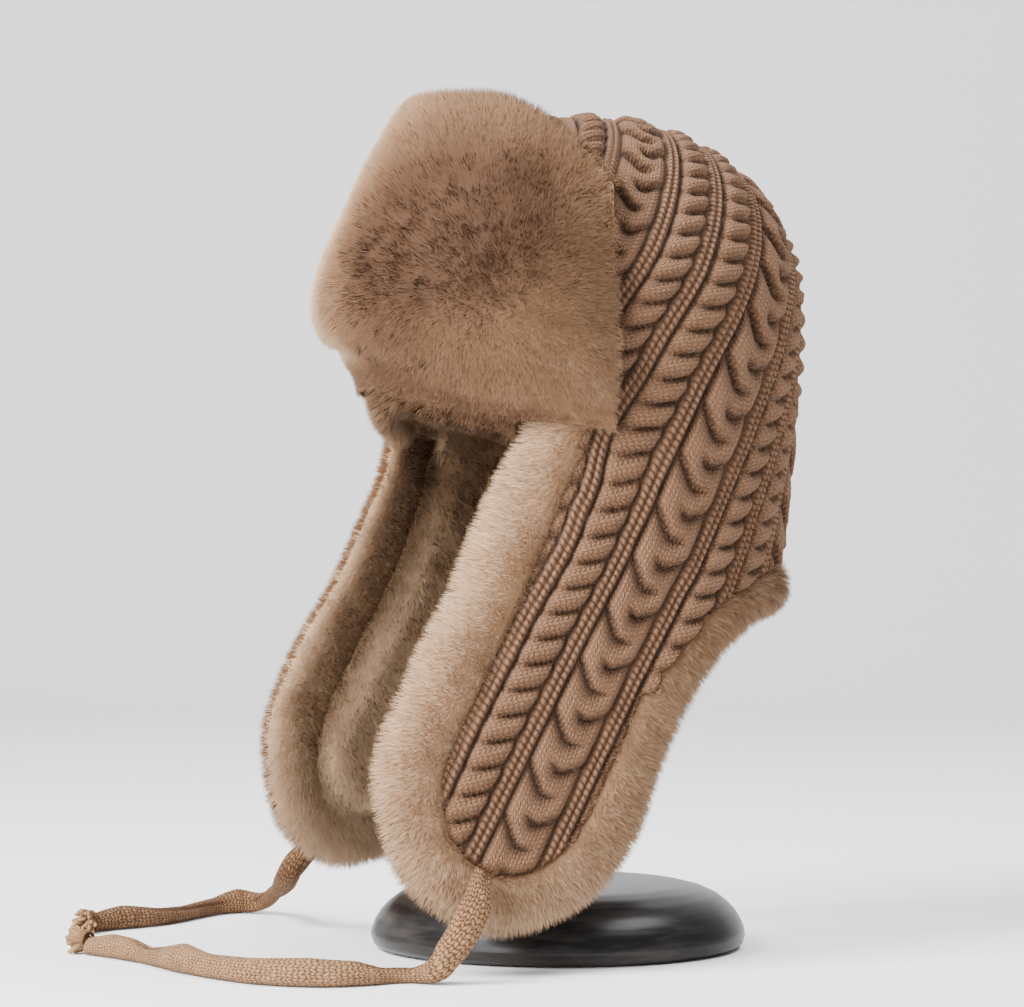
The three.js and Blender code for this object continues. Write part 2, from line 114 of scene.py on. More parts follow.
def smooth(low, high, value):
    # Smooth step from 0 at low to 1 at high.
    t = np.clip((value - low) / (high - low), 0.0, 1.0)
    return t * t * (3.0 - 2.0 * t)


def unit(vectors):
    return vectors / np.maximum(np.linalg.norm(vectors, axis=-1, keepdims=True), 1e-9)


def triangles(quads):
    return np.concatenate([quads[:, [0, 1, 2]], quads[:, [0, 2, 3]]])


def ringAngles(sides):
    return np.arange(sides) / sides * 2 * np.pi


def ringsRound(middle, first, second, wide, thick, angle):
    # Rings round a line: first times the width and cosine, plus second times the depth and sine.
    return (middle[:, None, :] + first[:, None, :] * (wide * np.cos(angle))[..., None]
            + second[:, None, :] * (thick * np.sin(angle))[..., None])


def tubeFaces(rings, sides):
    # Quads between rings of points, and each end closed by a fan round a middle point.
    i, k = np.meshgrid(np.arange(rings - 1), np.arange(sides), indexing="ij")
    a = i * sides + k
    b = i * sides + (k + 1) % sides
    quads = np.stack([a, b, b + sides, a + sides], -1).reshape(-1, 4)
    k = np.arange(sides)
    last = (rings - 1) * sides
    middle = rings * sides
    start = np.stack([(k + 1) % sides, k, np.full(sides, middle)], -1)
    end = np.stack([last + k, last + (k + 1) % sides, np.full(sides, middle + 1)], -1)
    return np.concatenate([triangles(quads), start, end])


def closedTube(rings):
    # rings is an array of closed rings; the middle of the first and last ring closes the ends.
    points = rings.reshape(-1, 3)
    return np.concatenate([points, rings[:1].mean(axis=1), rings[-1:].mean(axis=1)])


def outwardFaces(points, faces):
    # The signed volume says which way the faces point, and they are turned to point outwards.
    a, b, c = points[faces[:, 0]], points[faces[:, 1]], points[faces[:, 2]]
    volume = np.einsum("ij,ij->i", a, np.cross(b, c)).sum()
    return faces if volume > 0 else faces[:, ::-1]


def hermite(p1, p2, m1, m2, steps):
    # Cubic spans from p1 to p2 with slopes m1 and m2, joined into one line.
    t = np.linspace(0, 1, steps, endpoint=False)[:, None, None]
    spans = ((2 * t**3 - 3 * t**2 + 1) * p1 + (t**3 - 2 * t**2 + t) * m1
             + (3 * t**2 - 2 * t**3) * p2 + (t**3 - t**2) * m2)
    return np.concatenate([spans.transpose(1, 0, 2).reshape(-1, p1.shape[1]), p2[-1:]])


def evenly(line, count=None, step=None):
    # Points at equal steps along a line, and its length.
    run = np.concatenate([[0], np.cumsum(np.linalg.norm(np.diff(line, axis=0), axis=1))])
    even = np.linspace(0, run[-1], count or int(run[-1] / step) + 1)
    return np.stack([np.interp(even, run, line[:, k]) for k in range(line.shape[1])], -1), run[-1]


# Helpers for materials.
def newMaterial(name, look):
    material = bpy.data.materials.new(name)
    material.use_nodes = True
    shader = material.node_tree.nodes["Principled BSDF"]
    for key, value in look.items():
        shader.inputs[key].default_value = value
    return material, material.node_tree, shader


def addNode(tree, kind, settings=None, inputs=None):
    node = tree.nodes.new(kind)
    for key, value in (settings or {}).items():
        setattr(node, key, value)
    for key, value in (inputs or {}).items():
        if isinstance(value, bpy.types.NodeSocket):
            tree.links.new(value, node.inputs[key])
        else:
            node.inputs[key].default_value = value
    return node


def calc(tree, operation, first, second=0.0, third=0.0):
    node = addNode(tree, "ShaderNodeMath", {"operation": operation}, {0: first, 1: second, 2: third})
    return node.outputs[0]


def added(tree, base, value, weight):
    return calc(tree, "ADD", base, calc(tree, "MULTIPLY", value, weight))


def varied(tree, base, value, weight):
    # Adds a share of how far the value is from one half.
    return added(tree, base, calc(tree, "SUBTRACT", value, 0.5), weight)


def attribute(tree, name):
    return addNode(tree, "ShaderNodeAttribute", {"attribute_name": name}).outputs["Fac"]


def objectPlace(tree):
    return addNode(tree, "ShaderNodeTexCoord").outputs["Object"]


def noise(tree, place, scale, detail, output="Fac"):
    inputs = {"Vector": place, "Scale": scale, "Detail": detail}
    return addNode(tree, "ShaderNodeTexNoise", None, inputs).outputs[output]


def ramp(tree, factor, stops):
    node = addNode(tree, "ShaderNodeValToRGB", None, {"Fac": factor})
    for k, (place, color) in enumerate(stops):
        stop = node.color_ramp.elements[k] if k < 2 else node.color_ramp.elements.new(place)
        stop.position = place
        stop.color = (*color, 1.0)
    return node.outputs["Color"]


def strandPlace(tree, place, scale, amount):
    # The coordinates along the strands, shifted a little by noise.
    uv = addNode(tree, "ShaderNodeUVMap", {"uv_map": "strands"}).outputs["UV"]
    wobble = noise(tree, place, scale, 1.0, "Color")
    shift = addNode(tree, "ShaderNodeVectorMath", {"operation": "SCALE"}, {0: wobble, "Scale": amount})
    both = {0: uv, 1: shift.outputs[0]}
    return addNode(tree, "ShaderNodeVectorMath", {"operation": "ADD"}, both).outputs[0]


def stitchHeight(tree, uv, wide, tall):
    # Stitches as chevrons: slanted legs that mirror from one leg to the next.
    split = addNode(tree, "ShaderNodeSeparateXYZ", None, {"Vector": uv})
    a = calc(tree, "MULTIPLY", split.outputs[0], 100.0)
    b = calc(tree, "MULTIPLY", split.outputs[1], 100.0)
    leg = calc(tree, "DIVIDE", calc(tree, "PINGPONG", a, wide), wide)
    row = added(tree, calc(tree, "DIVIDE", b, tall), leg, 0.5)
    dash = calc(tree, "ABSOLUTE", calc(tree, "SINE", calc(tree, "MULTIPLY", row, math.pi)))
    legs = calc(tree, "MULTIPLY", calc(tree, "DIVIDE", a, wide), math.pi)
    groove = calc(tree, "ABSOLUTE", calc(tree, "SINE", legs))
    return calc(tree, "MULTIPLY", dash, calc(tree, "POWER", groove, 0.6))


def finishYarn(tree, shader, color, height, strength):
    # Joins the color and a bump of the stitches' height to the shader.
    inputs = {"Strength": strength, "Distance": 0.0008, "Height": height}
    bump = addNode(tree, "ShaderNodeBump", None, inputs)
    tree.links.new(bump.outputs["Normal"], shader.inputs["Normal"])
    tree.links.new(color, shader.inputs["Base Color"])


# Cords: soft flattened tubes of fine knit. Routes in millimetres.
cordLook = {
    "width": 12.0, "thickness": 10.0, "sides": 40, "step": 0.8, "turnShare": 0.22,
    "face": (0.62, -0.3, 0.72),
    "skin": 0.25, "folds": 12, "foldSize": (-0.5, 0.7), "foldLength": (4, 9), "creaseDepth": 0.8,
    "dome": 4.0, "flatStart": 0.4, "flatRun": 14.0, "lieFrom": 13.0, "lieTo": 6.5, "lowest": 0.3,
    "stitch": 2.3, "leg": 1.25, "girth": 30.0, "farShade": 0.36, "startShade": 0.22, "startLean": 4.5,
    "light": (0.33, 0.19, 0.097), "dark": (0.075, 0.032, 0.013),
}
# How wide each cord is at shares of its length, against its usual width, where it twists and folds.
cordWidths = {
    "left": np.array([
        (0, 0.8), (0.06, 1.15), (0.1, 1.22), (0.17, 1.12), (0.22, 0.62), (0.27, 0.66), (0.32, 0.98),
        (0.4, 1.12), (0.5, 1.02), (0.62, 0.96), (0.7, 1.2), (0.76, 0.92), (0.82, 0.72), (0.88, 0.95),
        (0.94, 1.0), (0.99, 0.8), (1, 0.78),
    ]),
    "right": np.array([
        (0, 0.8), (0.08, 1.1), (0.22, 1), (0.36, 0.78), (0.45, 0.85), (0.5, 1.12), (0.56, 0.8), (0.7, 0.72),
        (0.8, 0.8), (0.9, 1.05), (0.96, 0.9), (1, 0.75),
    ]),
}
cordRoutes = {
    "left": np.array([
        (101, -76, 46), (105.5, -84, 33), (106.5, -91.5, 20.5), (102, -98, 11), (95, -104, 6.8),
        (90, -113, 5.6), (91, -128, 5.6), (88, -145, 5.6), (78, -159, 5.6), (62, -170, 5.6),
        (39, -177.5, 5.6), (15, -182, 5.8), (-4, -184, 5.9), (-22, -186.5, 5.8), (-46, -192, 5.6),
        (-62, -198.5, 5.6),
    ], dtype=float),
    "right": np.array([
        (-101, -71, 45), (-104.5, -77, 36), (-111, -80, 28.5), (-122, -77.5, 23.5), (-140, -72, 18.5),
        (-160, -67, 13.5), (-178, -67, 9.5), (-188, -74, 7), (-188, -86, 5.8), (-178, -101, 5.6),
        (-164, -117, 5.6), (-154, -133, 5.6), (-150, -147, 5.6), (-146.5, -159, 5.6), (-141, -169.5, 5.6),
    ], dtype=float),
}


def routePoints(rows, step):
    # Centripetal spline through the rows, then points at equal steps along it.
    first = 2 * rows[:1] - rows[1:2]
    last = 2 * rows[-1:] - rows[-2:-1]
    p = np.concatenate([first, rows, last])
    gap = np.sqrt(np.linalg.norm(np.diff(p, axis=0), axis=1))[:, None]
    g0, g1, g2 = gap[:-2], gap[1:-1], gap[2:]
    p0, p1, p2, p3 = p[:-3], p[1:-2], p[2:-1], p[3:]
    m1 = ((p1 - p0) / g0 - (p2 - p0) / (g0 + g1) + (p2 - p1) / g1) * g1
    m2 = ((p2 - p1) / g1 - (p3 - p1) / (g1 + g2) + (p3 - p2) / g2) * g1
    return evenly(hermite(p1, p2, m1, m2, 40), step=step)


def cordFrame(path, side, look):
    # Tangent, width and thickness directions: the flat side turns from the flap to the table.
    tangent = unit(np.gradient(path, axis=0))
    run = np.linspace(0, 1, len(path))[:, None]
    turn = smooth(0, look["turnShare"], run)
    face = np.array(look["face"]) * turn + np.array([side, 0.0, 0.0]) * (1 - turn)
    across = unit(np.cross(tangent, face))
    return tangent, across, unit(np.cross(across, tangent))


def makeCord(name, side, look, material, seed):
    # An ellipse carried along the route, scaled by a table and bent by a few soft folds. Where it
    # lies, it is lowered until it touches the table.
    path, length = routePoints(cordRoutes[name], look["step"])
    tangent, across, face = cordFrame(path, side, look)
    sides = look["sides"]
    angle = ringAngles(sides)[None] - np.pi / 2
    run = np.linspace(0, length, len(path))[:, None]
    rng = np.random.default_rng(seed)
    folds = np.zeros_like(run)
    for at in rng.uniform(0.1, 0.95, look["folds"]) * length:
        size = rng.uniform(*look["foldSize"])
        folds = folds + size * np.exp(-((run - at) / rng.uniform(*look["foldLength"])) ** 2)
    widths = np.interp(run / length, cordWidths[name][:, 0], cordWidths[name][:, 1])
    kernel = np.exp(-np.linspace(-2, 2, 11) ** 2)
    widths = np.convolve(np.pad(widths[:, 0], 5, "edge"), kernel / kernel.sum(), "valid")[:, None]
    creases = np.exp(-((angle - np.pi * (0.5 + 0.22 * np.sin(run / 31 + seed))) / 0.3) ** 2)
    creases = creases * smooth(1.05, 0.75, widths)
    lift = folds * np.sin(angle + run / 29) - look["creaseDepth"] * creases
    closing = np.sqrt(1 - (1 - np.clip((length + 0.1 - run) / look["dome"], 0, 1)) ** 2)
    flat = (look["flatStart"] + (1 - look["flatStart"]) * smooth(0, look["flatRun"], run)) * closing
    wide = (look["width"] / 2 * widths - look["skin"] + lift) * closing
    thick = (look["thickness"] / 2 * widths - look["skin"] + lift) * flat
    rings = ringsRound(path, across, face, wide, thick, angle)
    rings[..., 0] -= side * look["startLean"] * smooth(16, 0, run)
    lying = smooth(look["lieFrom"], look["lieTo"], path[:, 2])
    rings[..., 2] -= (lying * (rings[..., 2].min(axis=1) - look["lowest"]))[:, None]
    rings[..., 2] = np.maximum(rings[..., 2], look["skin"])
    points = closedTube(rings)
    # Painted shade: darker in the creases, all over the far cord, which shows its shaded side, and towards the
    # start by the flap.
    shade = 0.55 * creases + look["startShade"] * smooth(75, 10, run) + (look["farShade"] if side < 0 else 0.0)
    attributes = {"paintedShade": np.concatenate([shade.ravel(), [0.5, 0.5]]), "stitched": np.ones(len(points))}
    girth = look["girth"] / sides * np.arange(sides)[None, :] + 0 * run
    strands = np.stack([girth.ravel(), (run + 0 * girth).ravel()], -1) / 100
    faces = outwardFaces(points, tubeFaces(len(path), sides))
    uvs = np.concatenate([strands, np.zeros((2, 2))])
    piece = makePiece(f"tieCord_{name}", points, faces, material, attributes, uvs)
    return piece, path, length, tangent


def makeCordMaterial(look):
    # Stitches by their coordinates; the mesh's painted shade, painted shade in the holes between the stitches,
    # a soft tone and fine fuzz darken it.
    material, tree, shader = newMaterial("cordKnit", {"Roughness": 0.95, "Specular IOR Level": 0.2})
    paintedShade, stitched = attribute(tree, "paintedShade"), attribute(tree, "stitched")
    place = objectPlace(tree)
    tone, fuzz = noise(tree, place, 130.0, 4.0), noise(tree, place, 1700.0, 2.0)
    stitch = stitchHeight(tree, strandPlace(tree, place, 300.0, 0.022), look["leg"], look["stitch"])
    holes = calc(tree, "MULTIPLY", calc(tree, "SUBTRACT", 1.0, stitch), stitched)
    shade = calc(tree, "ADD", paintedShade, calc(tree, "POWER", holes, 2.0))
    shade = varied(tree, varied(tree, shade, tone, 0.7), fuzz, 0.5)
    color = ramp(tree, shade, [(0.05, look["light"]), (0.95, look["dark"])])
    height = added(tree, calc(tree, "MULTIPLY", stitch, stitched), fuzz, 0.35)
    finishYarn(tree, shader, color, height, 0.9)
    return material


# Cord ends: a dark binding, then a short tuft of open yarns.
endLook = {
    "neck": 3.4, "neckLength": 2.2, "yarns": 64, "yarnRadius": 1.05, "yarnLength": 9.5, "spread": 0.8,
    "yarnSteps": 9, "yarnSides": 6, "curl": 0.75, "height": 6.4, "back": 2.1, "lowest": 1.2,
    "bindingTurns": 4, "bindingRadius": 0.55, "bindingSteps": 90, "bindingStart": 0.8,
}


def makeCordEnd(name, path, tangent, look, material, seed):
    # Yarns are thin tubes that leave the neck in a cone and bend down; the binding is a coil.
    heading = unit(tangent[-1] * np.array([1.0, 1.0, 0.0]))
    sideways = np.array([-heading[1], heading[0], 0.0])
    start = path[-1] - heading * look["back"]
    start[2] = look["height"]
    rng = np.random.default_rng(seed)
    count, steps, sides = look["yarns"], look["yarnSteps"], look["yarnSides"]
    share = np.linspace(0, 1, steps)[None, :, None]
    turn = rng.uniform(0, 2 * np.pi, count)[:, None, None]
    spread = np.sqrt(rng.uniform(0.02, 1, count))[:, None, None]
    reach = look["yarnLength"] * rng.uniform(0.75, 1.08, count)[:, None, None]
    radial = sideways * np.cos(turn) + upward * np.sin(turn)
    line = (start + heading * (1.2 + reach * share * (1 - 0.18 * spread * share))
            + radial * spread * (look["neck"] - 1.2 + look["spread"] * 6.5 * share**1.3)
            - upward * 1.5 * share**2)
    bend = rng.normal(0, 1, (2, count, 1, 3))
    line = line + look["curl"] * (bend[0] * np.sin(2.2 * share) + bend[1] * np.sin(5.5 * share)) * share
    line[..., 2] = np.maximum(line[..., 2], look["lowest"])
    way = unit(np.gradient(line, axis=1))
    first = unit(np.cross(way, upward))
    second = np.cross(way, first)
    angle = ringAngles(sides)
    thick = look["yarnRadius"] * (1 - 0.35 * share**3)
    rings = (line[:, :, None, :] + (first[:, :, None, :] * np.cos(angle)[None, None, :, None]
             + second[:, :, None, :] * np.sin(angle)[None, None, :, None]) * thick[:, :, None, :])
    ends = [rings[:, k].mean(axis=1, keepdims=True) for k in (0, -1)]
    yarnPoints = np.concatenate([rings.reshape(count, -1, 3), *ends], axis=1)
    size = yarnPoints.shape[1]
    yarnFaces = (tubeFaces(steps, sides)[None] + np.arange(count)[:, None, None] * size).reshape(-1, 3)
    yarnPoints = yarnPoints.reshape(-1, 3)
    coil = np.linspace(0, look["bindingTurns"] * 2 * np.pi, look["bindingSteps"])[:, None]
    core = start + heading * np.linspace(look["bindingStart"], look["neckLength"], len(coil))[:, None]
    coilLine = core + (sideways * np.cos(coil) + upward * np.sin(coil)) * (look["neck"] + 0.25)
    coilOut = unit(coilLine - core)
    coilSide = np.cross(unit(np.gradient(coilLine, axis=0)), coilOut)
    thread = look["bindingRadius"]
    coilPoints = closedTube(ringsRound(coilLine, coilOut, coilSide, thread, thread, angle[None]))
    # Painted shade: each yarn darkens towards its root inside the tuft, and the binding is dark.
    yarnPaintedShade = np.linspace(0.75, 0.15, steps).repeat(sides).tolist() + [0.8, 0.2]
    paintedShade = np.concatenate([np.tile(yarnPaintedShade, count), np.full(len(coilPoints), 0.8)])
    points = np.concatenate([yarnPoints, coilPoints])
    faces = np.concatenate([outwardFaces(yarnPoints, yarnFaces),
                            outwardFaces(coilPoints, tubeFaces(len(coil), sides)) + len(yarnPoints)])
    attributes = {"paintedShade": paintedShade, "stitched": np.zeros(len(points))}
    return makePiece(f"cordEnd_{name}", points, faces, material, attributes, points[:, :2] / 100)


cordMaterial = makeCordMaterial(cordLook)
for number, (name, side) in enumerate((("left", 1), ("right", -1))):
    cord, path, length, tangent = makeCord(name, side, cordLook, cordMaterial, 3 + number)
    end = makeCordEnd(name, path, tangent, endLook, cordMaterial, 11 + number)
    for piece, node in ((cord, f"tie_cord_{name}"), (end, f"cord_end_{name}")):
        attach(piece, "root")
        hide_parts(node)
print("cords made")


# The hat's base surface, as the solids have it: sizes in millimetres.
hat = {
    "halfWidth": 95.0, "halfDepth": 96.5, "centreY": 19.7, "domeStart": 290.0, "domeRise": 85.0,
    "wallArc": 96.5, "domeArc": 90.0, "tuckFrom": 285.0, "tuckTo": 165.0, "tuckDepth": 12.0,
    "earLine": 235.0, "flapLine": 190.0, "flapRun": 0.985, "flapCurl": 29.0,
    "reachTop": (231.0, 69.0), "reachLow": (86.0, 140.0),
    "flareStart": 150.0, "flareSpan": 120.0, "flare": 8.0,
    "rightLift": 14 / 220, "rightBack": 6.0, "rightBackSpan": 90.0, "rightFade": 60.0,
    "lean": 0.53, "columnHeight": 282.0, "seamGap": 0.3,
}
quarterRound = hat["wallArc"] * np.pi / 2
domeTop = hat["domeStart"] + hat["domeArc"] * np.pi / 2
leanLength = math.hypot(1, hat["lean"])


def basePoint(side, around, up):
    # An ellipsoid dome on an upright elliptical wall. Below the ear line the front of the wall
    # straightens, reaches forward and curls in, and the whole flares a little at the bottom.
    around, up = np.broadcast_arrays(np.asarray(around, float), np.asarray(up, float))
    sinRound = np.sin(around / hat["wallArc"])
    tilt = np.maximum(0, up - hat["domeStart"]) / hat["domeArc"]
    sinUp = np.sin(tilt)
    x = hat["halfWidth"] * np.cos(around / hat["wallArc"]) * np.cos(tilt)
    tuck = np.where(sinRound > 0, hat["tuckDepth"] * smooth(hat["tuckFrom"], hat["tuckTo"], up), 0)
    y = (hat["halfDepth"] * np.sqrt(1 - sinUp**2 / 2) - tuck) * sinRound
    z = np.minimum(up, hat["domeStart"]) + hat["domeRise"] * sinUp * np.sqrt(1 - sinRound**2 / 2)
    flap = np.where(around < 0, smooth(hat["earLine"], hat["flapLine"], up), 0)
    reach = -around * hat["flapRun"]
    widen = smooth(hat["reachTop"][0], hat["reachLow"][0], up)
    span = hat["reachTop"][1] + (hat["reachLow"][1] - hat["reachTop"][1]) * widen
    curled = hat["halfWidth"] - hat["flapCurl"] * (reach / span) ** 2
    x = x + (curled - x) * flap
    y = y + (-reach - y) * flap
    x = x + hat["flare"] * (np.maximum(0, hat["flareStart"] - z) / hat["flareSpan"]) ** 2
    if side < 0:
        hang = np.maximum(0, hat["earLine"] - z) * smooth(hat["rightFade"], -hat["rightFade"], around)
        z = z + hang * hat["rightLift"]
        y = y + hat["rightBack"] * smooth(0, hat["rightBackSpan"], hang)
    return np.stack([side * x, y + hat["centreY"], z], -1)


def baseNormal(side, around, up):
    # Cross product of small steps round and up; over the dome, the ellipsoid's own normal.
    step = 0.5
    round2 = basePoint(side, around + step, up) - basePoint(side, around - step, up)
    up2 = basePoint(side, around, up + step) - basePoint(side, around, up - step)
    normal = unit(np.cross(round2, up2) * side)
    p = basePoint(side, around, up) - np.array([0, hat["centreY"], hat["domeStart"]])
    onDome = unit(p / np.array([hat["halfWidth"], hat["halfDepth"], hat["domeRise"]]) ** 2)
    return np.where((np.asarray(up) >= hat["domeStart"])[..., None], onDome, normal)


def columnPlace(across, along):
    # Knit columns lean back: their coordinates turned into round and up.
    return ((across + hat["lean"] * along) / leanLength,
            hat["columnHeight"] + (along - hat["lean"] * across) / leanLength)


def panelPoint(side, across, along, height):
    around, up = columnPlace(across, along)
    point = basePoint(side, around, up) + baseNormal(side, around, up) * np.asarray(height)[..., None]
    point[..., 0] = side * np.maximum(side * point[..., 0], hat["seamGap"] / 2)
    return point


# Edges of a knit panel, across and along its columns.
panel = {
    "frontLine": -9.0, "backLine": 62.0, "tipStart": -205.0, "tipDrop": 50.0, "browCentre": -121.3,
    "bulge": {"at": -67.0, "size": -6.5, "length": 35.0, "fade": 30.0},
    "waist": np.array([
        (-121.3, -94.8), (-61.8, -75.7), (-9, -67), (62, -148), (67.5, -128), (78, -104), (96, -82.5),
        (116, -66.5), (138, -52.3), (160, -37.9), (183.5, -22.7),
    ]),
}


def seamAlong(across):
    # Columns start on the seam over the dome, and past its end on the seam down the back.
    rise = domeTop - hat["columnHeight"]
    roundAtTop = across * leanLength + hat["lean"] * rise
    riseAtBack = (quarterRound - across * leanLength) / hat["lean"]
    return np.where(roundAtTop <= quarterRound, (hat["lean"] * roundAtTop + rise) / leanLength,
                    (hat["lean"] * quarterRound + riseAtBack) / leanLength)


def waistAlong(across):
    # Columns leave the crown at the brow, on the ear line or at the nape.
    rise = (-quarterRound - across * leanLength) / hat["lean"]
    atBrow = (-hat["lean"] * quarterRound + rise) / leanLength
    table = np.interp(across, panel["waist"][:, 0], panel["waist"][:, 1])
    return np.where(across < panel["browCentre"], atBrow, table)


def tipAlong(across):
    # The flap's rounded tip is a half ellipse.
    middle = (panel["frontLine"] + panel["backLine"]) / 2
    share = (across - middle) / (panel["backLine"] - middle)
    return panel["tipStart"] - panel["tipDrop"] * np.sqrt(np.maximum(0, 1 - share**2))


def bowed(across, along):
    # Columns near the flap's front edge bow forward a little beside the visor's corner.
    b = panel["bulge"]
    near = np.maximum(0, 1 - np.abs(across - panel["frontLine"]) / b["fade"])
    return across + b["size"] * near * np.exp(-(((along - b["at"]) / b["length"]) ** 2))


# Knit pattern, in millimetres: chain, rope, chain, wave, chain and rope in each repeat.
knitLook = {
    "repeat": 80.0, "ropes": (12.0, 68.0), "wave": 40.0, "chains": (0.0, 24.0, 56.0, 80.0), "ropeTurn": 40,
    "ropeHalf": 7.9, "ropePeriod": 12.5, "ropeStart": -101.4,
    "waveHalf": 11.7, "wavePeriod": 25.0, "waveStart": -112.2, "waveOffset": 12.3,
    "chainHalf": 3.6, "chainGap": 1.65, "chainWide": 1.45, "bead": 3.125, "leg": 1.6, "stitch": 2.3,
    "ropeHeight": 5.6, "waveHeight": 5.9, "chainHeight": 3.1, "ground": -1.4,
    "columnStep": 0.85, "columnStepFar": 1.45, "rows": 192, "flapRows": 160, "innerStep": 4, "depth": 4.2,
    "firstColumn": -203.0, "fineColumns": (-47.0, 95.0), "lastColumn": 183.4,
    # How far the pattern drifts at its front, middle and rear columns, at heights along them.
    "driftAlong": (-240, -200, -155, -110, -90, -57, -23, 27, 60),
    "driftFront": (-2, -3.5, -2.5, 0, -2, -8.8, -6.3, -2.5, -2.5),
    "driftMiddle": (-3.2, -3.2, -2.7, -1.7, -2.3, -3.6, -3.3, -0.2, 0),
    "driftRear": (-4.5, -4.2, -3.7, -2.5, 0, 1, 2.5, 5, 5),
    "edgeFade": {"left": 7.0, "right": 14.0}, "edgeDip": 2.3,
    "light": (0.188, 0.097, 0.052), "middle": (0.11, 0.054, 0.028), "dark": (0.027, 0.0115, 0.0055),
}


def patternPlace(across, along):
    # The drift is eased from row to row of its table, and then goes evenly across the columns.
    k = knitLook
    table = np.array(k["driftAlong"], float)
    row = np.clip(np.searchsorted(table, along) - 1, 0, len(table) - 2)
    part = smooth(table[row], table[row + 1], along)
    front, middle, rear = (np.array(k[key])[row] * (1 - part) + np.array(k[key])[row + 1] * part
                           for key in ("driftFront", "driftMiddle", "driftRear"))
    toMiddle = np.clip((across + 3) / 25, 0, 1)
    toRear = np.clip((across - 22) / 35, 0, 1)
    return across - (front + (middle - front) * toMiddle + (rear - middle) * toRear)


def ropeRelief(t, along):
    # Slanted lobes: each is a half round between two rising separators, which are deepest right of
    # the rope's middle, and the lobes' right ends are rounded.
    k = knitLook
    phase = (along - k["ropeStart"] - 5.0 * t - 2.2 * t * t) / k["ropePeriod"]
    r = np.abs(phase - np.round(phase))
    plump = np.sin(np.pi * r) ** 0.75
    deep = 0.42 + 0.5 * smooth(-0.8, 0.1, t)
    limit = 1.0 - 0.28 * (1 - plump) * (smooth(-0.2, 1, t) + 0.6 * smooth(-0.3, -1, t))
    dome = np.sqrt(np.maximum(0, 1 - np.minimum(np.abs(t / limit), 1) ** 2.6))
    # The second value is painted shade: dark in each separator's core and down the lobes towards it.
    core = deep * np.exp(-((r / 0.09) ** 2)) * (0.55 + 0.35 * smooth(-0.5, 0.3, t))
    return k["ropeHeight"] * dome * (1 - deep * (1 - plump)), np.maximum(core, deep * (1 - plump) * 0.8)


def strandStep(along, offset, slope):
    # Where one strand passes over the next: a rounded edge above, and below it the next strand
    # rises from underneath.
    k = knitLook
    turns = (along - k["waveStart"] - offset) / k["wavePeriod"]
    above = (turns - np.floor(turns)) * k["wavePeriod"] / slope
    below = k["wavePeriod"] / slope - above
    edge = 1 - np.sqrt(1 - (1 - np.minimum(above / 3.6, 1)) ** 2)
    dive = np.exp(-(below / 4.6) ** 1.4)
    # The second value is painted shade along the step, mostly under the upper strand's edge.
    return np.maximum(edge, dive), np.exp(-(np.minimum(above / 1.3, below / 3.0)) ** 2)


def waveRelief(t, along):
    # Two families of crossings along hyperbolas: one falls from the left edge to the middle, and
    # one half a repeat away falls from the right edge. Each fades on its far side.
    k = knitLook
    right2 = t - 0.3
    rootLeft, rootRight = np.sqrt(t * t + 0.05), np.sqrt(right2**2 + 0.04)
    slopeLeft = np.hypot(1, (8.25 * t / rootLeft - 4.25) / k["waveHalf"])
    slopeRight = np.hypot(1, (9.0 * right2 / rootRight + 4.0) / k["waveHalf"])
    dipLeft, darkLeft = strandStep(along, 8.25 * rootLeft - 4.25 * t - 1.6, slopeLeft)
    dipRight, darkRight = strandStep(along, 9.0 * rootRight + 4.0 * right2 - 1.6 + k["waveOffset"], slopeRight)
    weightLeft = 0.95 * smooth(0.75, 0.1, t)
    dipAtEdge = 0.25 * (smooth(0.45, 0.75, t) - smooth(0.8, 1.0, t))
    weightRight = 0.92 * smooth(-0.45, 0.15, t) * (1 - dipAtEdge)
    dome = np.sqrt(np.maximum(0, 1 - np.abs(t) ** 3.2))
    dip = 1 - (1 - weightLeft * dipLeft) * (1 - weightRight * dipRight)
    # Painted shade: dark along each crossing's edge and in the dips.
    core = np.maximum(weightLeft * darkLeft, weightRight * darkRight) * 0.92
    return k["waveHeight"] * dome * (1 - 0.95 * dip), np.maximum(core, dip * 0.75)


def chainRelief(s):
    # Two rounded ridges side by side; the material adds their beads.
    k = knitLook
    return np.exp(-((np.abs(np.abs(s) - k["chainGap"]) / k["chainWide"]) ** 2.6))


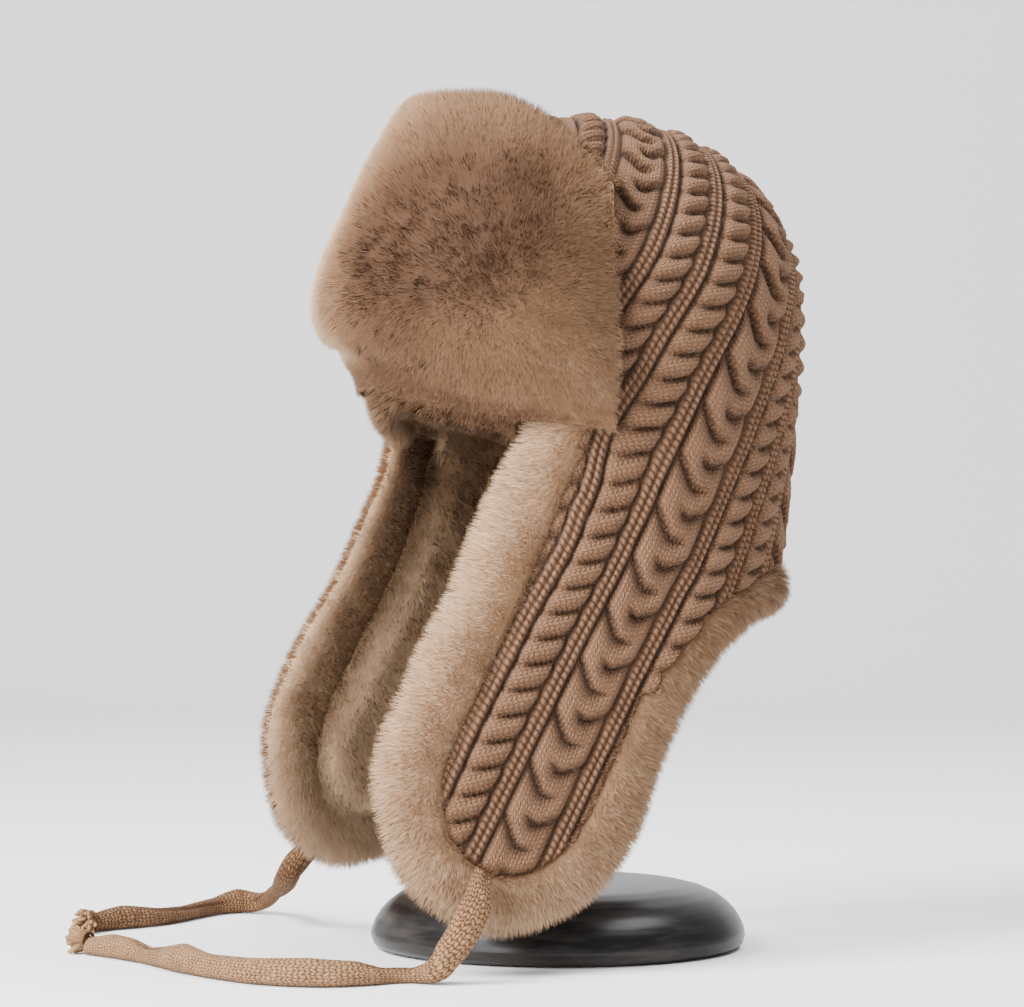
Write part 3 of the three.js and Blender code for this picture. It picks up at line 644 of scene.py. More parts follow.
def knitRelief(across, along):
    # Height, painted shade in the hollows, weights of stitches and beads, and coordinates along the strands.
    k = knitLook
    q = patternPlace(across, along)
    place = np.mod(q, k["repeat"])
    # Painted shade: the ground between the cables starts dark, the cables darken towards their edges, and the
    # chains between their ridges.
    layers = {"height": np.full(q.shape, k["ground"]), "paintedShade": np.full(q.shape, 0.85),
              "stitched": np.full(q.shape, 0.25), "beaded": np.zeros(q.shape), "strandA": q, "strandB": along}

    def lay(inside, values):
        for key, value in values.items():
            layers[key] = np.where(inside, value, layers[key])

    turn = math.radians(k["ropeTurn"])
    for centre in k["ropes"]:
        t = (place - centre) / k["ropeHalf"]
        relief, shade = ropeRelief(np.clip(t, -1, 1), along)
        lay(np.abs(t) < 1, {
            "height": k["ground"] + relief, "stitched": 1.0,
            "paintedShade": np.maximum(shade, smooth(0.82, 1.0, np.abs(t))),
            "strandA": along * math.cos(turn) - q * math.sin(turn),
            "strandB": along * math.sin(turn) + q * math.cos(turn)})
    t = (place - k["wave"]) / k["waveHalf"]
    relief, shade = waveRelief(np.clip(t, -1, 1), along)
    lay(np.abs(t) < 1, {
        "height": k["ground"] + relief, "stitched": 1.0,
        "paintedShade": np.maximum(shade, smooth(0.86, 1.0, np.abs(t))),
        "strandB": along - np.where(t < 0, 6.0, 8.0) * t * t})
    for centre in k["chains"]:
        s = place - centre
        ridge = chainRelief(s)
        lay(np.abs(s) < k["chainHalf"], {
            "height": k["ground"] + 0.2 + k["chainHeight"] * ridge, "paintedShade": 0.72 * (1 - ridge),
            "stitched": 0.0, "beaded": ridge, "strandB": along + 0.45 * s})
    layers["paintedShade"] = np.clip(layers["paintedShade"], 0, 1)
    return layers


def panelColumns():
    # Columns stand closer on the side that shows, and their count suits the coarse inner face.
    k = knitLook
    group = k["innerStep"]
    near, far = k["columnStep"], k["columnStepFar"]
    stops = [(k["firstColumn"], far), (k["fineColumns"][0], near), (panel["frontLine"], near),
             (panel["backLine"], near), (k["fineColumns"][1], far), (k["lastColumn"], 0)]
    parts = []
    for (low, step), (high, _) in zip(stops[:-1], stops[1:]):
        count = int(math.ceil((high - low) / step / group)) * group
        parts.append(np.linspace(low, high, count, endpoint=False))
    return np.concatenate(parts + [[k["lastColumn"]]])


def panelBlocks(columns, rows, flapRows):
    # Across and along of each point: the crown's block of all columns, then the flap's block.
    f0 = int(np.argmin(np.abs(columns - panel["frontLine"])))
    f1 = int(np.argmin(np.abs(columns - panel["backLine"])))
    share = np.linspace(0, 1, rows + 1)[:, None]
    seam, waist = seamAlong(columns)[None], waistAlong(columns)[None]
    upper = seam + (waist - seam) * share
    flap = columns[f0:f1 + 1]
    low = np.linspace(0, 1, flapRows + 1)[1:, None]
    lower = waistAlong(flap)[None] + (tipAlong(flap) - waistAlong(flap))[None] * low
    across = np.concatenate([np.broadcast_to(columns, upper.shape).ravel(),
                             np.broadcast_to(flap, lower.shape).ravel()])
    along = np.concatenate([upper.ravel(), lower.ravel()])
    nc, nf = len(columns), len(flap)
    upperIds = np.arange((rows + 1) * nc).reshape(rows + 1, nc)
    flapIds = (rows + 1) * nc + np.arange(flapRows * nf).reshape(flapRows, nf)
    lowerIds = np.concatenate([upperIds[-1:, f0:f1 + 1], flapIds])
    loop = np.concatenate([
        upperIds[0, :-1], upperIds[:-1, -1], upperIds[-1, :f1:-1], lowerIds[:-1, -1],
        lowerIds[-1, :0:-1], lowerIds[:0:-1, 0], upperIds[-1, f0:0:-1], upperIds[:0:-1, 0],
    ])
    quads = np.concatenate([blockQuads(upperIds), blockQuads(lowerIds)])
    return across, along, quads, loop


def blockQuads(ids):
    a, b, c, d = ids[:-1, :-1], ids[:-1, 1:], ids[1:, 1:], ids[1:, :-1]
    return np.stack([a, d, c, b], -1).reshape(-1, 4)


def fromEdge(across, along):
    # Millimetres inside the panel's free edge, measured along columns or across them. Above the
    # flap's upper corners the crown has no edge across the columns.
    front, back = panel["frontLine"], panel["backLine"]
    onFlap = (across >= front) & (across <= back)
    fromFront = np.where(across < front, 99, across - front + 200 * smooth(-72, -67, along))
    fromBack = np.where(across > back, 99, back - across + 200 * smooth(-153, -148, along))
    lowEnd = np.where(onFlap, tipAlong(np.clip(across, front, back)), waistAlong(across))
    return np.minimum(np.minimum(fromFront, fromBack), along - lowEnd)


def makeKnitPanel(name, side, material):
    # The outer face has the whole relief, the hidden inner face is coarse, and a rim joins them.
    k = knitLook
    columns = panelColumns()
    across, along, quads, loop = panelBlocks(columns, k["rows"], k["flapRows"])
    group = k["innerStep"]
    coarseRows = k["rows"] // group, k["flapRows"] // group
    inAcross, inAlong, inQuads, inLoop = panelBlocks(columns[::group], *coarseRows)
    bowedAcross = bowed(across, along)
    layers = knitRelief(bowedAcross, along)
    inside = smooth(0, k["edgeFade"][name], fromEdge(across, along))
    relief = (layers["height"] - k["ground"]) * (0.15 + 0.85 * inside)
    outer = panelPoint(side, bowedAcross, along, k["ground"] + relief - k["edgeDip"] * (1 - inside))
    inner = panelPoint(side, bowed(inAcross, inAlong), inAlong, np.full(inAcross.shape, -k["depth"]))
    fine, coarse = loop.reshape(-1, group), inLoop + len(outer)
    nextFine = np.roll(loop, -1).reshape(-1, group)
    nextCoarse = np.roll(coarse, -1)
    half = group // 2
    shape = (len(fine), half)
    near = np.stack([fine[:, :half], nextFine[:, :half], np.broadcast_to(coarse[:, None], shape)], -1)
    far = np.stack([fine[:, half:], nextFine[:, half:], np.broadcast_to(nextCoarse[:, None], shape)], -1)
    middle = np.stack([fine[:, half], nextCoarse, coarse], -1)
    walls = triangles(np.concatenate([quads, inQuads[:, ::-1] + len(outer)]))
    faces = np.concatenate([walls, near.reshape(-1, 3), far.reshape(-1, 3), middle])[:, ::side]
    # Painted shade: the hidden inner face is darkest.
    padded = {key: np.concatenate([layers[key], np.full(len(inner), fill)]) for key, fill in (
        ("paintedShade", 1.0), ("stitched", 0.0), ("beaded", 0.0), ("strandA", 0.0), ("strandB", 0.0))}
    uvs = np.stack([padded.pop("strandA"), padded.pop("strandB")], -1) / 100
    return makePiece(f"cableKnit_{name}", np.concatenate([outer, inner]), faces, material, padded, uvs)


def makeKnitMaterial(look):
    # Painted shade darkens the wool in the hollows, the stitch holes and the gaps between a chain's beads.
    material, tree, shader = newMaterial("woolKnit", {
        "Roughness": 0.95, "Specular IOR Level": 0.2, "Sheen Weight": 0.12, "Sheen Roughness": 0.5,
        "Sheen Tint": (0.8, 0.6, 0.45, 1)})
    paintedShade, stitched, beaded = (attribute(tree, key) for key in ("paintedShade", "stitched", "beaded"))
    place = objectPlace(tree)
    tone, fuzz = noise(tree, place, 70.0, 3.0), noise(tree, place, 1500.0, 2.0)
    strands = strandPlace(tree, place, 420.0, 0.012)
    stitch = stitchHeight(tree, strands, look["leg"], look["stitch"])
    holes = calc(tree, "MULTIPLY", calc(tree, "SUBTRACT", 1.0, stitch), stitched)
    alongChain = addNode(tree, "ShaderNodeSeparateXYZ", None, {"Vector": strands}).outputs[1]
    beads = calc(tree, "SINE", calc(tree, "MULTIPLY", alongChain, 100 * math.pi / look["bead"]))
    beads = calc(tree, "POWER", calc(tree, "ABSOLUTE", beads), 0.7)
    gaps = calc(tree, "MULTIPLY", calc(tree, "SUBTRACT", 1.0, beads), beaded)
    shade = added(tree, calc(tree, "MULTIPLY", paintedShade, 0.72), holes, 0.3)
    shade = added(tree, shade, gaps, 0.85)
    shade = varied(tree, varied(tree, shade, tone, 0.3), fuzz, 0.35)
    color = ramp(tree, shade, [(0.0, look["light"]), (0.85, look["dark"]), (0.4, look["middle"])])
    height = added(tree, calc(tree, "MULTIPLY", stitch, stitched), fuzz, 0.45)
    height = added(tree, height, calc(tree, "MULTIPLY", beads, beaded), 1.6)
    finishYarn(tree, shader, color, height, 1.0)
    return material


knitMaterial = makeKnitMaterial(knitLook)
for name, side in (("left", 1), ("right", -1)):
    piece = makeKnitPanel(name, side, knitMaterial)
    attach(piece, "root")
    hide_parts(f"knit_panel_{name}")
    print("knit panel", name, len(piece.data.polygons))


# Fur: hairs are slim one-triangle blades on a body that lies just inside the fur's outer form.
furLook = {
    "root": (0.07, 0.031, 0.013), "middle": (0.225, 0.123, 0.062), "tip": (0.525, 0.35, 0.212),
    "inset": 3.0, "length": 5.6, "width": 0.3, "clump": 5.0, "pull": 0.1, "spread": 0.24, "rise": 0.9,
    "lumps": 0.7, "toneSpread": 0.8, "bodyShade": 0.6, "hairShade": (0.5, 0.92),
}


def cellNoise(cells, salt):
    # A repeatable random vector for each whole-numbered cell.
    phase = cells @ np.array([[12.9898, 39.346, 73.156], [78.233, 11.135, 52.235], [45.164, 94.673, 83.155]])
    wave = np.sin(phase + salt) * 43758.5453
    return wave - np.floor(wave)


def nearestClump(points, size, salt):
    # One clump middle sits at a random place in each cell; each point takes the nearest.
    base = np.floor(points / size)
    best = np.full(len(points), 1e9)
    middle = np.zeros_like(points)
    tone = np.zeros_like(points)
    steps = np.array(np.meshgrid([-1, 0, 1], [-1, 0, 1], [-1, 0, 1])).reshape(3, -1).T
    for step in steps:
        cell = base + step
        random = cellNoise(cell, salt)
        candidate = (cell + random) * size
        distance = np.linalg.norm(points - candidate, axis=1)
        closer = distance < best
        best = np.where(closer, distance, best)
        middle = np.where(closer[:, None], candidate, middle)
        tone = np.where(closer[:, None], cellNoise(cell, salt + 9.0), tone)
    return middle, tone


def furRoots(grid, comb, weight, count, rng):
    # Random places on the quads between closed rings, more where a quad is larger or heavier.
    grid, comb, weight = (np.concatenate([g, g[:, :1]], axis=1) for g in (grid, comb, weight))
    rowStep = grid[1:, :-1] - grid[:-1, :-1]
    colStep = grid[:-1, 1:] - grid[:-1, :-1]
    area = np.linalg.norm(np.cross(rowStep, colStep), axis=-1) * weight[:-1, :-1]
    pick = rng.choice(area.size, count, p=(area / area.sum()).ravel())
    i, k = np.unravel_index(pick, area.shape)
    s, t = rng.uniform(size=(2, count, 1))

    def blendAt(values):
        return ((1 - s) * (1 - t) * values[i, k] + s * (1 - t) * values[i + 1, k]
                + (1 - s) * t * values[i, k + 1] + s * t * values[i + 1, k + 1])

    rowWay = grid[i + 1, k] - grid[i, k]
    colWay = grid[i, k + 1] - grid[i, k]
    return blendAt(grid), unit(np.cross(rowWay, colWay)), blendAt(comb)


def softLumps(points, size):
    # Low waves that keep a body from looking turned: three products of sines.
    x, y, z = points[..., 0], points[..., 1], points[..., 2]
    wave = (np.sin(x / 7.1 + 1.3) * np.sin(z / 8.3 + 0.4) + np.sin(y / 6.7 + 2.1) * np.sin(z / 11.9 + 1.9)
            + np.sin(x / 13.7 + 0.6) * np.sin(y / 12.1 + 2.7))
    return (wave * size / 1.6)[..., None]


def makeHairs(roots, normals, combs, look, rng, floor=None):
    # A hair's way is the normal plus the comb, turned a little for its clump and at random. Its
    # blade is wide at the root and lies flat, so that light falls on it as on the body.
    count = len(roots)
    middle, random = nearestClump(roots, look["clump"], 2.0)
    toClump = middle - roots
    toClump -= normals * np.sum(toClump * normals, axis=1, keepdims=True)
    lean = combs + (random - 0.5) * 1.6 * look["spread"] + rng.normal(0, look["spread"] * 0.6, (count, 3))
    lean += toClump / look["clump"] * look["pull"]
    lean -= normals * np.sum(lean * normals, axis=1, keepdims=True) * 0.8
    way = unit(normals * look["rise"] + lean)
    tips = roots + way * look["length"] * rng.uniform(0.65, 1.1, (count, 1))
    if floor is not None:
        tips[:, 2] = np.maximum(tips[:, 2], floor)
    flat = unit(np.cross(way, normals + rng.normal(0, 0.3, (count, 3))))
    wide = flat * look["width"] * rng.uniform(0.5, 1.2, (count, 1)) / 2
    facing = np.cross(2 * wide, tips - roots)
    turned = np.sum(facing * normals, axis=1, keepdims=True) < 0
    wide = np.where(turned, -wide, wide)
    facing = unit(np.where(turned, -facing, facing))
    points = np.stack([roots - wide, roots + wide, tips], 1).reshape(-1, 3)
    shading = np.repeat(unit(normals * 0.7 + facing * 0.25 + way * 0.4), 3, axis=0)
    # Painted shade: each hair is darker at its root than at its tip.
    low, high = look["hairShade"]
    pileShade = np.tile([low, low, high], count)
    tone = np.repeat(random[:, 0] * 0.3 + 0.3 + look["toneSpread"] * rng.uniform(-0.5, 0.5, count), 3)
    return points, np.arange(count * 3).reshape(-1, 3), pileShade, tone, shading


def meshNormals(points, faces):
    # Each point's normal is the sum of its faces' normals.
    corners = points[faces]
    normals = np.cross(corners[:, 1] - corners[:, 0], corners[:, 2] - corners[:, 0])
    total = np.zeros_like(points)
    for k in range(3):
        total += np.stack([np.bincount(faces[:, k], normals[:, j], len(points)) for j in range(3)], -1)
    return unit(total)


def outwardSign(grid, row, column, way):
    # Whether the grid's rows crossed with its columns point outwards, tried at one place.
    corner = grid[row, column]
    return np.sign(np.sum(np.cross(grid[row + 1, column] - corner, grid[row, column + 1] - corner) * way))


def furryTube(name, grid, hairs, look, material, shadeAt):
    # A closed tube of rings with its hairs.
    points = closedTube(grid)
    faces = outwardFaces(points, tubeFaces(*grid.shape[:2]))
    return makeFurPiece(name, points, faces, hairs, look, material, shadeAt)


def makeFurPiece(name, bodyPoints, bodyFaces, hairs, look, material, shadeAt):
    # The body and its hairs in one mesh, with painted shade by the height in the pile and a tone at each
    # point.
    hairPoints, hairFaces, pileShade, tone, shading = hairs
    points = np.concatenate([bodyPoints, hairPoints])
    faces = np.concatenate([bodyFaces, hairFaces + len(bodyPoints)])
    count = len(bodyPoints)
    attributes = {"pileShade": np.concatenate([np.full(count, look["bodyShade"]), pileShade]),
                  "tone": np.concatenate([np.full(count, 0.5), tone]) + shadeAt(points)}
    normals = np.concatenate([meshNormals(bodyPoints, bodyFaces), shading])
    return makePiece(name, points, faces, material, attributes, normals=normals)


def paintedLightFrontToBack(front, back):
    # Painted light and shade added to a piece's tone, which goes from its front value to its back value round
    # the head.
    return lambda p: front + (back - front) * smooth(-75, 45, p[:, 1])


def makeFurMaterial(look):
    # Painted shade: dark at a hair's root, deep in the pile, and pale at its tip; the tone adds each piece's
    # painted light and shade and a random tone, with soft patches.
    material, tree, shader = newMaterial("softFur", {
        "Roughness": 0.8, "Specular IOR Level": 0.25, "Sheen Weight": 0.05, "Sheen Roughness": 0.4,
        "Sheen Tint": (0.95, 0.8, 0.62, 1)})
    patches = noise(tree, objectPlace(tree), 45.0, 3.0)
    shade = varied(tree, varied(tree, attribute(tree, "pileShade"), attribute(tree, "tone"), 0.35), patches, 0.3)
    color = ramp(tree, shade, [(0.0, look["root"]), (1.0, look["tip"]), (0.55, look["middle"])])
    tree.links.new(color, shader.inputs["Base Color"])
    return material


furMaterial = makeFurMaterial(furLook)


# Visor: section by rise and how far out, and how it changes from the middle to the ends.
visor = {
    "end": -32.0, "bottom": 252.0, "bottomDrop": 11.0, "top": 387.0, "topDrop": 28.0, "clearance": 4.8,
    "thickness": 36.0, "endThin": 0.96, "endDrop": 22.0, "leastWall": 1.2, "rings": 120, "hairs": 166000,
    "frontPoints": 60, "backPoints": 14, "nearDrop": 9.0, "insetShare": 0.45,
    "crease": {"rise": 0.085, "farRise": 0.1, "nearFall": 0.12, "width": 0.025, "depth": 6.0},
    "section": np.array([
        (0, 6), (0.05, 8), (0.1, 13.5), (0.14, 20), (0.19, 25.5), (0.26, 29.5), (0.34, 29.5), (0.46, 24.5),
        (0.58, 17.5), (0.7, 10), (0.82, 1.5), (0.93, -7), (0.985, -13), (1, -20), (0.96, -28),
    ]),
    "paintedShadeAt": (48.0, 322.0), "paintedShadeSize": (50.0, 46.0), "backRises": (0.86, 0.04), "backWeight": 0.35,
    "combCentre": 0.34, "combEnds": 0.868, "combRise": 0.7, "combHeight": 65.0, "combDown": 0.12,
}


def visorGrid(look):
    # Rings from temple to temple: the section scaled between bottom and top, and pushed out from
    # the crown's wall. A crease runs over the lower lip, and the pile's depth is taken off, but
    # never more than a share of the local thickness.
    v = visor
    share = np.sin((np.linspace(0, 1, v["rings"]) - 0.5) * np.pi)
    spread = np.abs(share)
    around = -quarterRound + (v["end"] + quarterRound) * spread
    up = np.full_like(around, hat["domeStart"] - 1)
    onRight = share[:, None] < 0
    wall = np.where(onRight, basePoint(-1, around, up), basePoint(1, around, up))
    normal = np.where(onRight, baseNormal(-1, around, up), baseNormal(1, around, up))
    radius = np.hypot(wall[:, 0], wall[:, 1] - hat["centreY"])
    fullness = np.sqrt(1 - v["endThin"] * spread**6)
    bottom = v["bottom"] - v["bottomDrop"] * spread**1.5 - v["nearDrop"] * smooth(-0.3, 0.75, share)
    top = v["top"] - v["topDrop"] * spread**3 - v["endDrop"] * (1 - fullness)
    rows = len(v["section"])
    fine = (rows - 1) * np.linspace(0, 1, v["frontPoints"]) ** 1.25
    rises = np.interp(fine, np.arange(rows), v["section"][:, 0])
    outs = np.interp(fine, np.arange(rows), v["section"][:, 1])
    backs = np.linspace(*v["backRises"], v["backPoints"])
    backOuts = np.interp(backs, v["section"][:-1, 0], v["section"][:-1, 1]) - v["thickness"]

    def crownOut(height):
        above = np.maximum(0, height - hat["domeStart"]) / hat["domeRise"]
        return radius[:, None] * (np.sqrt(np.maximum(0, 1 - above**2)) - 1) + v["clearance"]

    frontZ = bottom[:, None] + (top - bottom)[:, None] * rises
    backZ = bottom[:, None] + (top - bottom)[:, None] * backs
    front = v["clearance"] + (outs - v["clearance"]) * fullness[:, None]
    front = np.maximum(front, crownOut(frontZ) + v["leastWall"])
    back = np.maximum(crownOut(backZ), backOuts)
    out = np.concatenate([front, back], axis=1)
    height = np.concatenate([frontZ, backZ], axis=1)
    grid = wall[:, None, :] + normal[:, None, :] * out[..., None]
    grid[..., 2] = height
    for _ in range(4):
        grid = 0.5 * grid + 0.25 * (np.roll(grid, 1, axis=1) + np.roll(grid, -1, axis=1))
    colWay = np.roll(grid, -1, axis=1) - np.roll(grid, 1, axis=1)
    outward = unit(np.cross(np.gradient(grid, axis=0), colWay))
    middle = grid.mean(axis=1, keepdims=True)
    outward *= np.sign(np.sum(outward * (grid - middle), axis=(1, 2), keepdims=True))
    crease = v["crease"]
    riseAt = np.concatenate([rises, np.full(v["backPoints"], 9.0)])[None]
    creaseRise = (crease["rise"] + crease["farRise"] * smooth(0.1, -0.8, share)
                  - crease["nearFall"] * smooth(0, 0.6, share))
    groove = np.exp(-((riseAt - creaseRise[:, None]) / crease["width"]) ** 2)
    depth = look["inset"] + groove * crease["depth"] * (1 - spread**4)[:, None]
    depth = depth * np.clip(fullness, 0.12, 1)[:, None]
    sectionOut = np.interp(np.concatenate([rises, backs]), v["section"][:-1, 0], v["section"][:-1, 1])
    thick = np.clip(sectionOut - crownOut(height), v["leastWall"], v["thickness"])
    depth = np.minimum(depth, v["insetShare"] * thick)
    return grid - outward * (depth[..., None] - softLumps(grid, look["lumps"])), share, outward


def makeVisor(look, material):
    # Hairs fan out from the middle of the face, where they stand up most.
    v = visor
    grid, share, outward = visorGrid(look)
    rng = np.random.default_rng(21)
    middle = grid.mean(axis=1, keepdims=True)
    rise = np.clip((grid[..., 2] - middle[..., 2]) / v["combHeight"], -1, 1)
    fan = smooth(0.0, 1.0, np.abs(share - v["combCentre"])) * np.sign(share - v["combCentre"])
    ends = unit(np.gradient(grid, axis=0)) * fan[:, None, None]
    comb = ends * v["combEnds"] + upward * rise[..., None] * v["combRise"] - upward * v["combDown"]
    weight = np.ones(grid.shape[:2])
    weight[:, v["frontPoints"]:] = v["backWeight"]
    roots, normals, combs = furRoots(grid, comb, weight, v["hairs"], rng)
    sign = outwardSign(grid, 55, 10, outward[55, 10])
    hairs = makeHairs(roots, normals * sign, combs, look, rng)

    def shadeAt(p):
        # Painted shade: darkest in the middle of the face and a painted shadow under its lip; painted light on
        # its far front edge; a little darker all over.
        x, y, z = p.T
        far = np.hypot((x - v["paintedShadeAt"][0]) / v["paintedShadeSize"][0], (z - v["paintedShadeAt"][1]) / v["paintedShadeSize"][1])
        low = smooth(0, 8, v["bottom"] - 6 + 22 * smooth(90, 0, x) - z)
        pale = 0.8 * smooth(0.9, 1.6, far) * smooth(30, -60, x) * smooth(-45, -90, y) * (1 - low)
        return (pale - 2.6 * np.exp(-(far**2)) - low) * smooth(0, -50, y) - 0.45

    return furryTube("visorFur", grid, hairs, look, material, shadeAt)


piece = makeVisor(dict(furLook, bodyShade=0.72, length=4.6, toneSpread=0.5), furMaterial)
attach(piece, "root")
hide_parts("visor")
print("visor made")


# Fur edge round the flaps and nape.
trim = {
    "start": -50.0, "thickness": 18.0, "sink": {"left": 4.0, "right": 1.0}, "sides": 26, "steps": 260,
    "runs": (0, 0.1, 0.33, 0.45, 0.6, 0.8, 1), "widths": (23, 27, 27, 22, 19, 16, 18), "hairs": 90000,
    "gap": 1.0, "edgeRise": 28.0, "tuck": 4.5, "rounding": 9, "over": {"left": 3.0, "right": 10.0},
    "fill": 12.0, "tone": {"left": (0.3, -0.35), "right": (0.85, -0.35)}, "bodyShade": 0.48,
    "napeOver": 2.5, "napeSink": 3.5, "napeRun": (0.3, 0.55), "leastX": 0.6, "hairPast": 2.6,
}


def edgeCurve(count):
    # The panel's edge from the brow down the flap's front, round its tip, up and along the nape:
    # a spline through its points, then equal steps along it.
    p = panel
    alongFront = np.linspace(trim["start"], p["tipStart"], 9)
    front = np.stack([bowed(np.full(9, p["frontLine"]), alongFront), alongFront], -1)
    middle = (p["frontLine"] + p["backLine"]) / 2
    tipAcross = middle - (p["backLine"] - middle) * np.cos(np.arange(1, 12) / 12 * np.pi)
    tip = np.stack([tipAcross, tipAlong(tipAcross)], -1)
    back = np.array([(p["backLine"], p["tipStart"]), (p["backLine"], p["tipStart"] + trim["edgeRise"])])
    nape = p["waist"][p["waist"][:, 0] >= p["backLine"]]
    rows = np.concatenate([front, tip, back, nape])
    wide = np.concatenate([rows[:1], rows, rows[-1:]])
    p0, p1, p2, p3 = wide[:-3], wide[1:-2], wide[2:-1], wide[3:]
    return evenly(hermite(p1, p2, (p2 - p0) / 2, (p3 - p1) / 2, 24), count)[0]


def sunkPoint(side, across, along, sink):
    around, up = columnPlace(across, along)
    normal = baseNormal(side, around, up)
    return basePoint(side, around, up) - normal * sink, normal


def makeTrim(name, side, look, material, seed):
    # An ellipse carried along the panel's edge, just outside it. Its inner side reaches further,
    # under the knit and the lining, and its first rings close in a dome. Both trims are alike
    # where they meet on the nape.
    edge = edgeCurve(trim["steps"])
    heading = unit(np.gradient(edge, axis=0))
    outward = np.stack([heading[:, 1], -heading[:, 0]], -1)
    run = np.linspace(0, 1, trim["steps"])
    half = np.interp(run, trim["runs"], trim["widths"]) / 2
    onNape = smooth(*trim["napeRun"], run)
    over = trim["over"][name] + (trim["napeOver"] - trim["over"][name]) * onNape
    sink = (trim["sink"][name] + (trim["napeSink"] - trim["sink"][name]) * onNape)[:, None]
    half = half + over / 2
    centre = edge + outward * (half + trim["gap"] - over)[:, None]
    ahead = centre + outward
    middle, normal = sunkPoint(side, centre[:, 0], centre[:, 1], sink)
    out = sunkPoint(side, ahead[:, 0], ahead[:, 1], sink)[0] - middle
    out = unit(out - normal * np.sum(out * normal, axis=1, keepdims=True))
    angle = side * ringAngles(trim["sides"])
    closing = np.sqrt(1 - (1 - np.clip((np.arange(trim["steps"]) + 0.5) / trim["rounding"], 0, 1)) ** 2)
    inside = trim["tuck"] + trim["fill"] * np.clip(-np.sin(angle), 0, 1)
    wide = (half - look["inset"])[:, None] + np.where(np.cos(angle) < 0, inside, 0)[None]
    deep = trim["thickness"] / 2 - look["inset"]
    shape = ((np.cos(angle)[None] * wide)[..., None] * out[:, None]
             + np.sin(angle)[None, :, None] * deep * normal[:, None])
    grid = middle[:, None] + shape * closing[:, None, None]
    grid = grid + unit(shape) * softLumps(grid, look["lumps"])
    grid[..., 0] = side * np.maximum(side * grid[..., 0], trim["leastX"])
    rng = np.random.default_rng(seed)
    comb = out[:, None] * (0.6 + 0.25 * np.cos(angle))[None, :, None] - upward * 0.3
    weight = np.broadcast_to(1 + 0.45 * np.cos(angle)[None], grid.shape[:2])
    roots, normals, combs = furRoots(grid, comb, weight, trim["hairs"], rng)
    hairs = makeHairs(roots, normals * outwardSign(grid, 100, 0, out[100]), combs, look, rng, floor=1.0)
    hairs[0][:, 0] = side * np.maximum(side * hairs[0][:, 0], trim["leastX"] - trim["hairPast"])
    # The tone paints light on the trim's front, more on the far flap, and painted shade towards the back.
    return furryTube(f"furTrim_{name}", grid, hairs, look, material, paintedLightFrontToBack(*trim["tone"][name]))


# Lining: a soft sheet inside the knit, its pile towards the wearer.
lining = {
    "top": 4.6, "base": 13.0, "edge": 7.5, "edgeSlope": 16.0, "rows": 48, "flapRows": 36,
    "tone": {"left": (0.3, 0.1), "right": (1.3, -0.5)}, "hairs": {"left": 36000, "right": 68000},
    "look": {"length": 6.2, "width": 0.44}, "crownShare": 0.25, "comb": (0, -0.35, -0.45),
    "middleHeight": 200.0, "stops": (-203, 125, 183.4), "counts": (46, 24, 24, 18),
}


def makeLining(name, side, look, material, seed):
    # The panel's outline on a coarser grid, as two faces joined round the edge. The inner face
    # rises from the edge towards the wearer, and its hairs are fewer over the crown.
    first, rear, last = lining["stops"]
    stops = (first, panel["frontLine"], panel["backLine"], rear, last)
    columns = np.unique(np.concatenate([
        np.linspace(*span) for span in zip(stops[:-1], stops[1:], lining["counts"])]))
    across, along, quads, loop = panelBlocks(columns, lining["rows"], lining["flapRows"])
    bowedAcross = bowed(across, along)
    outer = panelPoint(side, bowedAcross, along, np.full(across.shape, -lining["top"]))
    inside = smooth(0, lining["edgeSlope"], fromEdge(across, along))
    inner = panelPoint(side, bowedAcross, along, -lining["edge"] - (lining["base"] - lining["edge"]) * inside)
    count = len(outer)
    after = np.roll(loop, -1)
    rim = np.stack([loop, after, after + count, loop + count], -1)
    faces = triangles(np.concatenate([quads, quads[:, ::-1] + count, rim]))[:, ::side]
    rng = np.random.default_rng(seed)
    a, b, c, d = (inner[quads[:, k]] for k in range(4))
    low = 1 - (1 - lining["crownShare"]) * smooth(215, 260, a[:, 2])
    area = np.linalg.norm(np.cross(b - a, d - a), axis=1) * low
    pick = rng.choice(len(quads), lining["hairs"][name], p=area / area.sum())
    s, t = rng.uniform(size=(2, len(pick), 1))
    a, b, c, d = a[pick], b[pick], c[pick], d[pick]
    roots = (1 - s) * (1 - t) * a + s * (1 - t) * b + s * t * c + (1 - s) * t * d
    normals = unit(np.cross(b - a, d - a))
    towards = np.array([0, hat["centreY"], lining["middleHeight"]]) - roots
    normals = normals * np.sign(np.sum(normals * towards, axis=1, keepdims=True))
    combs = np.broadcast_to(np.array(lining["comb"]), roots.shape)
    hairs = makeHairs(roots, normals, combs, dict(look, **lining["look"]), rng)
    # The tone paints light on the lining's front, most on the far flap, and on the far side painted shade at
    # the back inside the crown.
    return makeFurPiece(f"furLining_{name}", np.concatenate([outer, inner]), faces, hairs, look, material,
                        paintedLightFrontToBack(*lining["tone"][name]))


for number, (name, side) in enumerate((("left", 1), ("right", -1))):
    trimLook = dict(furLook, bodyShade=trim["bodyShade"])
    trimPiece = makeTrim(name, side, trimLook, furMaterial, 31 + number)
    liningPiece = makeLining(name, side, furLook, furMaterial, 41 + number)
    for piece, node in ((trimPiece, f"fur_trim_{name}"), (liningPiece, f"fur_lining_{name}")):
        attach(piece, "root")
        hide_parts(node)
print("trims and linings made")


# Brow roll: fur that turns out under the brow.
brow = {
    "drop": 15.5, "raised": 2.5, "depth": 9.5, "sink": 6.0, "end": -46.0, "steps": 90, "sides": 20,
    "hairs": 32000,
}


